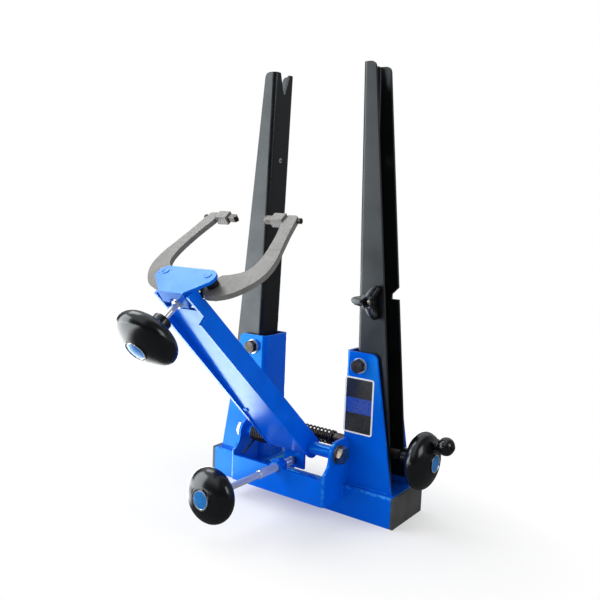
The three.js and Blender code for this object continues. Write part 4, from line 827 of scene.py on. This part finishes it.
class STAND_OT_label(StandOperator, bpy.types.Operator):
    """Label plate with plain bands"""

    bl_idname = "stand.label"
    bl_label = "Label"

    def make(self, sizes, colours):
        width, height, corner, thickness, sunk = 34 * MM, 59 * MM, 3 * MM, 0.45 * MM, 0.12 * MM
        band_share = 0.135
        bm = bmesh.new()
        bmesh.ops.create_grid(bm, x_segments=1, y_segments=1, size=0.5)
        bmesh.ops.scale(bm, vec=(width, height, 1), verts=bm.verts)
        bmesh.ops.bevel(bm, geom=bm.verts[:], offset=corner, offset_type="OFFSET", segments=6,
                        profile=0.5, affect="VERTICES", material=-1)
        grown = bmesh.ops.extrude_face_region(bm, geom=bm.faces[:])
        risen = [v for v in grown["geom"] if isinstance(v, bmesh.types.BMVert)]
        bmesh.ops.translate(bm, vec=(0, 0, thickness), verts=risen)
        top = [f for f in grown["geom"] if isinstance(f, bmesh.types.BMFace)]
        bmesh.ops.inset_region(bm, faces=top, thickness=sizes.label_border, depth=-sunk)
        for share in (band_share, -band_share):
            rims = {e for f in top for e in f.edges}
            corners = {v for f in top for v in f.verts}
            bmesh.ops.bisect_plane(bm, geom=[*top, *rims, *corners],
                                   plane_co=(0, share * height, 0), plane_no=(0, 1, 0))
            top = [f for f in bm.faces
                   if abs(f.calc_center_median().z - thickness + sunk) < 0.02 * MM]
        for face in top:
            middle = face.calc_center_median().y / height
            face.material_index = 2 if abs(middle) < band_share else 1
        bmesh.ops.recalc_face_normals(bm, faces=bm.faces)
        soften(bm, sunk, 2, least=60)
        materials = [FINISHES["label"], FINISHES["label_panel"], FINISHES["label_band"]]
        dress(placed(bm, against_y(LABEL_X, TOWER_FRONT, LABEL_Z)), "label_plate", materials)


class STAND_OT_arm(StandOperator, bpy.types.Operator):
    """Caliper arm with its pivot and torsion spring"""

    bl_idname = "stand.arm"
    bl_label = "Arm and pivot"

    def make(self, sizes, colours):
        dress(soften(copied("caliper_arm"), sizes.edge), "caliper_arm")
        y, z = ARM_PIVOT.y, ARM_PIVOT.z
        corner, height, bore, head_x, nut_x = 9.2 * MM, 6.4 * MM, 5.3 * MM, 62.7 * MM, -69.1 * MM
        head = placed(hexagon(corner, height), along_x(head_x, y, z))
        shaft = [(0, -69.1), (4.4, -69.1), (5, -68.4), *thread(5, -68.3, -61, 1.25, 0.4),
                 (5, -60.8), (5, 63.2), (0, 63.2)]
        stem = placed(turned(in_mm(shaft), steps=40), along_x(0, y, z))
        dress(merged(head, stem), "arm_pivot_bolt")
        nut = placed(hexagon(corner, height, bore, both=True), along_x(nut_x, y, z))
        dress(nut, "arm_pivot_nut")
        washer = in_mm([(5.3, 60.8), (10, 60.8), (10, 62.4), (5.3, 62.4)])
        spacer = in_mm([(5.3, 26.9), (6.5, 26.9), (6.5, 57.8), (5.3, 57.8)])
        ring, tube = (soften(turned(shape, closed=True), 0.3 * MM) for shape in (washer, spacer))
        for side, sign in SIDES.items():
            for part, name in ((ring, "arm_washer"), (tube, "arm_spacer")):
                dress(placed(part.copy(), mirrored(sign) @ along_x(0, y, z)), f"{name}_{side}")
        ring.free()
        tube.free()
        self.spring()

    def spring(self):
        """Torsion spring with its two straight legs"""
        wire, radius, leg, rise, foot, sides = 1.8 * MM, 8.3 * MM, 26 * MM, 20 * MM, -50 * MM, 8
        start = -math.pi / 3
        turns = 8 + (math.pi / 2 - ARM_ANGLE - start) / TURN
        bm = coil(radius, wire, [(turns, rise / turns)], steps=28, sides=sides)
        ends = [f for f in bm.faces if len(f.verts) == sides]
        for face in ends:
            first = face.calc_center_median().z < rise / 2
            turn = 0 if first else turns * TURN
            along = Vector((-math.sin(turn), math.cos(turn), 0)) * (-1 if first else 1)
            made = bmesh.ops.extrude_face_region(bm, geom=[face])
            moved = [v for v in made["geom"] if isinstance(v, bmesh.types.BMVert)]
            bmesh.ops.translate(bm, vec=along * leg, verts=moved)
            bmesh.ops.delete(bm, geom=[face], context="FACES_ONLY")
        bmesh.ops.recalc_face_normals(bm, faces=bm.faces)
        # Z of the coil becomes X of the stand, and its X becomes Y turned by the start angle
        turn = Matrix(((0, 0, 1), (1, 0, 0), (0, 1, 0))).to_4x4() @ Matrix.Rotation(start, 4, "Z")
        place = Matrix.Translation((foot, ARM_PIVOT.y, ARM_PIVOT.z))
        dress(placed(bm, place @ turn), "arm_spring", smooth=60)


class STAND_OT_rod(StandOperator, bpy.types.Operator):
    """Adjusting rod with its nut and tip"""

    bl_idname = "stand.rod"
    bl_label = "Adjusting rod"

    def make(self, sizes, colours):
        rod = [(0, -126.2), (3.4, -126.2), (3.4, -65.2), (3.7, -64.6), (4.2, -64), (4.5, -63.5),
               (4.5, -34.5), *thread(4.5, -34, -11, 1.5, 0.45), (4.0, -9.5), (0, -9.5)]
        place = along_y(0, 0, ROD_Z)
        lathe("adjusting_rod", rod, place, steps=56)
        dome = eased([(4.4, -9.2), (4.4, -7.6), (4.2, -6.4), (3.6, -5.2), (2.4, -4.4)], 4)
        lathe("rod_tip", [(0, -9.2), *dome, (0, -4.3)], place, steps=40)
        corner, height, bore = 8.5 * MM, 8 * MM, 4.9 * MM
        nut = hexagon(corner, height, bore, both=True)
        dress(placed(nut, along_y(0, BAR_FRONT + 3 * MM, ROD_Z)), "rod_nut")
        radius, y, step = 8.2 * MM, BAR_FRONT + 3.4 * MM, 0.6

        def at(turn):
            return (radius * math.cos(turn), y, ROD_Z + radius * math.sin(turn))

        ring = [bead(at(turn), at(turn + step), sizes.weld * 0.7) for turn in (1.2, 1.7, 2.2)]
        finished(merged(*ring), "nut_weld", "frame", "blue_paint")


class STAND_OT_head(StandOperator, bpy.types.Operator):
    """Head plates, caliper pins and spacers"""

    bl_idname = "stand.head"
    bl_label = "Head"

    def make(self, sizes, colours):
        dress(soften(copied("head_plate"), 0.6 * MM, 3), "head_plate")
        dress(soften(copied("head_lower_plate"), sizes.edge), "head_lower_plate")
        dress(soften(copied("screw_block"), 0.7 * MM, 3), "screw_block")
        stem = in_mm([(0, -10.2), (2.6, -10.2), (3, -9.8), (3, 13.9), (0, 13.9)])
        cap = in_mm([(0, 14.05), (3.4, 14.05), (3.6, 14.15), (3.5, 14.35), (3.0, 14.5), (0, 14.55)])
        sleeve = [(3.35, 2.85), (5.4, 2.85), (5.6, 3.05), (5.6, 4.6), (5.1, 4.8), (5.6, 5.0),
                  (5.6, 7.6), (5.0, 7.8), (5.6, 8.0), (5.6, 10.5), (5.4, 10.7), (3.35, 10.7)]
        corner, height, foot = 6.3 * MM, 4.7 * MM, Matrix.Translation((0, 0, -10.2 * MM))
        for side, sign in SIDES.items():
            spot = HEAD @ Matrix.Translation((sign * CALIPER_PIN_X, CALIPER_PIN_Y, 0))
            pin = placed(turned(stem, steps=40), spot)
            nut = placed(hexagon(corner, height, both=True), spot @ foot)
            dress(merged(pin, nut), f"caliper_pin_{side}")
            finished(placed(turned(cap), spot), f"pin_cap_{side}", "arm", "blue_paint")
            lathe(f"caliper_sleeve_{side}", sleeve, spot, closed=True)


class STAND_OT_calipers(StandOperator, bpy.types.Operator):
    """Calipers with their tips, feelers and screws"""

    bl_idname = "stand.calipers"
    bl_label = "Calipers"

    def make(self, sizes, colours):
        widths = {"caliper": (0.55, 3), "caliper_tip": (0.8, 3), "feeler": (0.6, 3),
                  "tip_screw": (0.3, 2)}
        for side in SIDES:
            for part, (width, segments) in widths.items():
                node = f"{part}_{side}"
                dress(soften(copied(node), width * MM, segments, least=42), node)


class STAND_OT_caliper_screw(StandOperator, bpy.types.Operator):
    """Screw that opens and closes the calipers, with its crosshead"""

    bl_idname = "stand.caliper_screw"
    bl_label = "Caliper screw"

    def make(self, sizes, colours):
        place = HEAD @ along_y(0, 0, 0)
        screw = [(0, -61.7), (3, -61.7), (3, -30.2), (3.2, -29.8), (4.2, -29.8), (4.5, -29.5),
                 (4.5, -28.2), (4.1, -27.9), (4.5, -27.6), (4.5, -26.1), (4.2, -25.8), (3, -25.8),
                 *thread(3, -25, 6.6, 1.25, 0.35), (2.5, 7), (0, 7)]
        lathe("caliper_screw", screw, place, steps=40)
        ring = [(3.4, -14.5), (4.3, -14.5), (4.5, -14.3), (4.5, -13.6), (4.3, -13.4), (3.4, -13.4)]
        lathe("screw_ring", ring, place, closed=True)
        spool = [(3.4, -9.5), (9.2, -9.5), (9.5, -9.2), (9.5, -8.3), (9.2, -8), (5, -8), (5, 0),
                 (9.2, 0), (9.5, 0.3), (9.5, 1.2), (9.2, 1.5), (3.4, 1.5)]
        lathe("crosshead", spool, place, closed=True)


class STAND_OT_stage(bpy.types.Operator):
    """Pale floor, soft lamps and the camera"""

    bl_idname = "stand.stage"
    bl_label = "Stage"

    def execute(self, context):
        stage = context.scene.stand_stage
        self.camera(context, stage)
        self.lamps(context, stage)
        self.world(context)
        self.floor(context, stage)
        context.scene.view_settings.view_transform = "Standard"
        return {"FINISHED"}

    def camera(self, context, stage):
        data = bpy.data.cameras.new("Camera")
        data.lens = stage.lens
        data.sensor_width = 36
        data.clip_start, data.clip_end = 0.01, 50
        camera = bpy.data.objects.new("Camera", data)
        right = Vector((0.8088, 0.5869, 0.0386))
        up = Vector((-0.101, 0.074, 0.9921))
        toward = right.cross(up).normalized()
        right = up.cross(toward).normalized()
        up = toward.cross(right)
        camera.matrix_world = (Matrix.Translation((0.4251, -0.59605, 0.3063))
                               @ Matrix((right, up, toward)).transposed().to_4x4())
        context.scene.collection.objects.link(camera)
        context.scene.camera = camera

    def lamps(self, context, stage):
        aim = Vector((0, -0.04, 0.3))
        plan = (
            ("Left softbox", (-1.25, -0.95, 0.6), 1.15, stage.key_power),
            ("Top softbox", (-0.62, -0.05, 1.15), 0.6, stage.top_power),
            ("Right lamp", (1.3, -0.1, 0.7), 0.6, stage.fill_power),
        )
        for name, spot, size, power in plan:
            data = bpy.data.lights.new(name, "AREA")
            data.shape = "SQUARE"
            data.size = size
            data.energy = power
            lamp = bpy.data.objects.new(name, data)
            lamp.location = spot
            lamp.rotation_euler = (aim - Vector(spot)).to_track_quat("-Z", "Y").to_euler()
            context.scene.collection.objects.link(lamp)

    def world(self, context):
        """White to the camera, grey as light, and to reflections brightest above on the left"""
        world = bpy.data.worlds.new("Studio")
        context.scene.world = world
        world.use_nodes = True
        nodes = Nodes(world.node_tree)
        ray = nodes.add("LightPath").outputs
        split = nodes.add("SeparateXYZ")
        nodes.put(split.inputs[0], nodes.add("TexCoord").outputs["Generated"])
        behind = nodes.span(split.outputs["Y"], -0.2, 0.6, 0.03, 0.3, smooth=True)
        above = nodes.span(split.outputs["Z"], 0.2, 0.7, smooth=True)
        leftward = nodes.span(split.outputs["X"], 0.1, 0.42, 1.0, 0.12, smooth=True)
        shown = nodes.reckon("MAXIMUM", ray["Is Glossy Ray"], ray["Is Transmission Ray"])
        grey, white = 0.58, 1.0
        soft = nodes.between(shown, grey, nodes.between(above, behind, leftward))
        light = nodes.add("Background")
        light.inputs["Color"].default_value = (1.0, 1.0, 1.0, 1.0)
        nodes.put(light.inputs["Strength"], nodes.between(ray["Is Camera Ray"], soft, white))
        nodes.put(nodes.add("OutputWorld").inputs["Surface"], light.outputs[0])

    def floor(self, context, stage):
        """Pale floor that keeps the shadow under the stand and turns to plain white away from it"""
        bm = bmesh.new()
        bmesh.ops.create_circle(bm, cap_ends=True, segments=96, radius=stage.floor_radius)
        mesh = bpy.data.meshes.new("Floor")
        bm.to_mesh(mesh)
        bm.free()
        floor = bpy.data.objects.new("Floor", mesh)
        context.scene.collection.objects.link(floor)
        material = bpy.data.materials.new("Pale floor")
        material.use_nodes = True
        nodes = Nodes(material.node_tree)
        ray = nodes.add("LightPath").outputs
        place = nodes.add("TexCoord").outputs["Object"]

        # Share of plain white that the camera sees, by the distance from the stand
        squeeze, far = nodes.add("VectorMath"), nodes.add("VectorMath")
        squeeze.operation, far.operation = "MULTIPLY", "LENGTH"
        squeeze.inputs[1].default_value = (0.55, 1.0, 0.0)
        nodes.put(squeeze.inputs[0], place)
        nodes.put(far.inputs[0], squeeze.outputs[0])
        fade = nodes.span(far.outputs["Value"], 0.05, 0.17, 0.3, 1.0)

        # Reflections see a bright floor on the left, as under a softbox, and a dark one elsewhere
        split = nodes.add("SeparateXYZ")
        nodes.put(split.inputs[0], place)
        x, y = split.outputs["X"], split.outputs["Y"]
        near = nodes.reckon("MULTIPLY", nodes.span(x, -0.06, -0.12, smooth=True),
                            nodes.span(y, -0.24, -0.12, smooth=True))
        dimmer = nodes.reckon("MULTIPLY_ADD", nodes.span(x, -2.6, -1.3, smooth=True), 0.55, 0.45)
        left = nodes.reckon("MULTIPLY", nodes.span(x, -0.2, -0.32, smooth=True), dimmer)
        gain, dark = 5.0, 0.1
        level = nodes.reckon("MULTIPLY_ADD", nodes.reckon("MAXIMUM", near, left), gain, dark)

        camera, glossy = ray["Is Camera Ray"], ray["Is Glossy Ray"]
        diffuse, white = nodes.add("BsdfDiffuse"), nodes.add("Emission")
        blend = nodes.add("MixShader")
        diffuse.inputs["Color"].default_value = (0.88, 0.89, 0.91, 1.0)
        strength = nodes.reckon("ADD", nodes.reckon("MULTIPLY", glossy, level), camera)
        nodes.put(white.inputs["Strength"], strength)
        share = nodes.reckon("MAXIMUM", nodes.reckon("MULTIPLY", camera, fade), glossy)
        nodes.fill(blend.inputs, (share, diffuse.outputs[0], white.outputs[0]))
        nodes.put(nodes.add("OutputMaterial").inputs["Surface"], blend.outputs[0])
        mesh.materials.append(material)


class STAND_PT_panel(bpy.types.Panel):
    """Buttons for every group of pieces"""

    bl_idname = "STAND_PT_panel"
    bl_label = "Truing stand"
    bl_space_type = "VIEW_3D"
    bl_region_type = "UI"
    bl_category = "Truing stand"

    def draw(self, context):
        for operator in OPERATORS:
            self.layout.operator(operator.bl_idname)


OPERATORS = (
    STAND_OT_finishes, STAND_OT_stage, STAND_OT_base, STAND_OT_welds, STAND_OT_uprights,
    STAND_OT_knobs, STAND_OT_spindle, STAND_OT_thumb_screw, STAND_OT_label, STAND_OT_arm,
    STAND_OT_rod, STAND_OT_head, STAND_OT_calipers, STAND_OT_caliper_screw,
)
GROUPS = {"stand_sizes": PieceSizes, "stand_colours": FinishColours, "stand_stage": StageSettings}


def register():
    for group in GROUPS.values():
        bpy.utils.register_class(group)
    for name, group in GROUPS.items():
        setattr(bpy.types.Scene, name, PointerProperty(type=group))
    for operator in (*OPERATORS, STAND_PT_panel):
        bpy.utils.register_class(operator)


def unregister():
    for operator in reversed((*OPERATORS, STAND_PT_panel)):
        bpy.utils.unregister_class(operator)
    for name, group in GROUPS.items():
        delattr(bpy.types.Scene, name)
        bpy.utils.unregister_class(group)


def main():
    register()
    for operator in OPERATORS:
        group, name = operator.bl_idname.split(".")
        getattr(getattr(bpy.ops, group), name)()


if __name__ == "__main__":
    main()
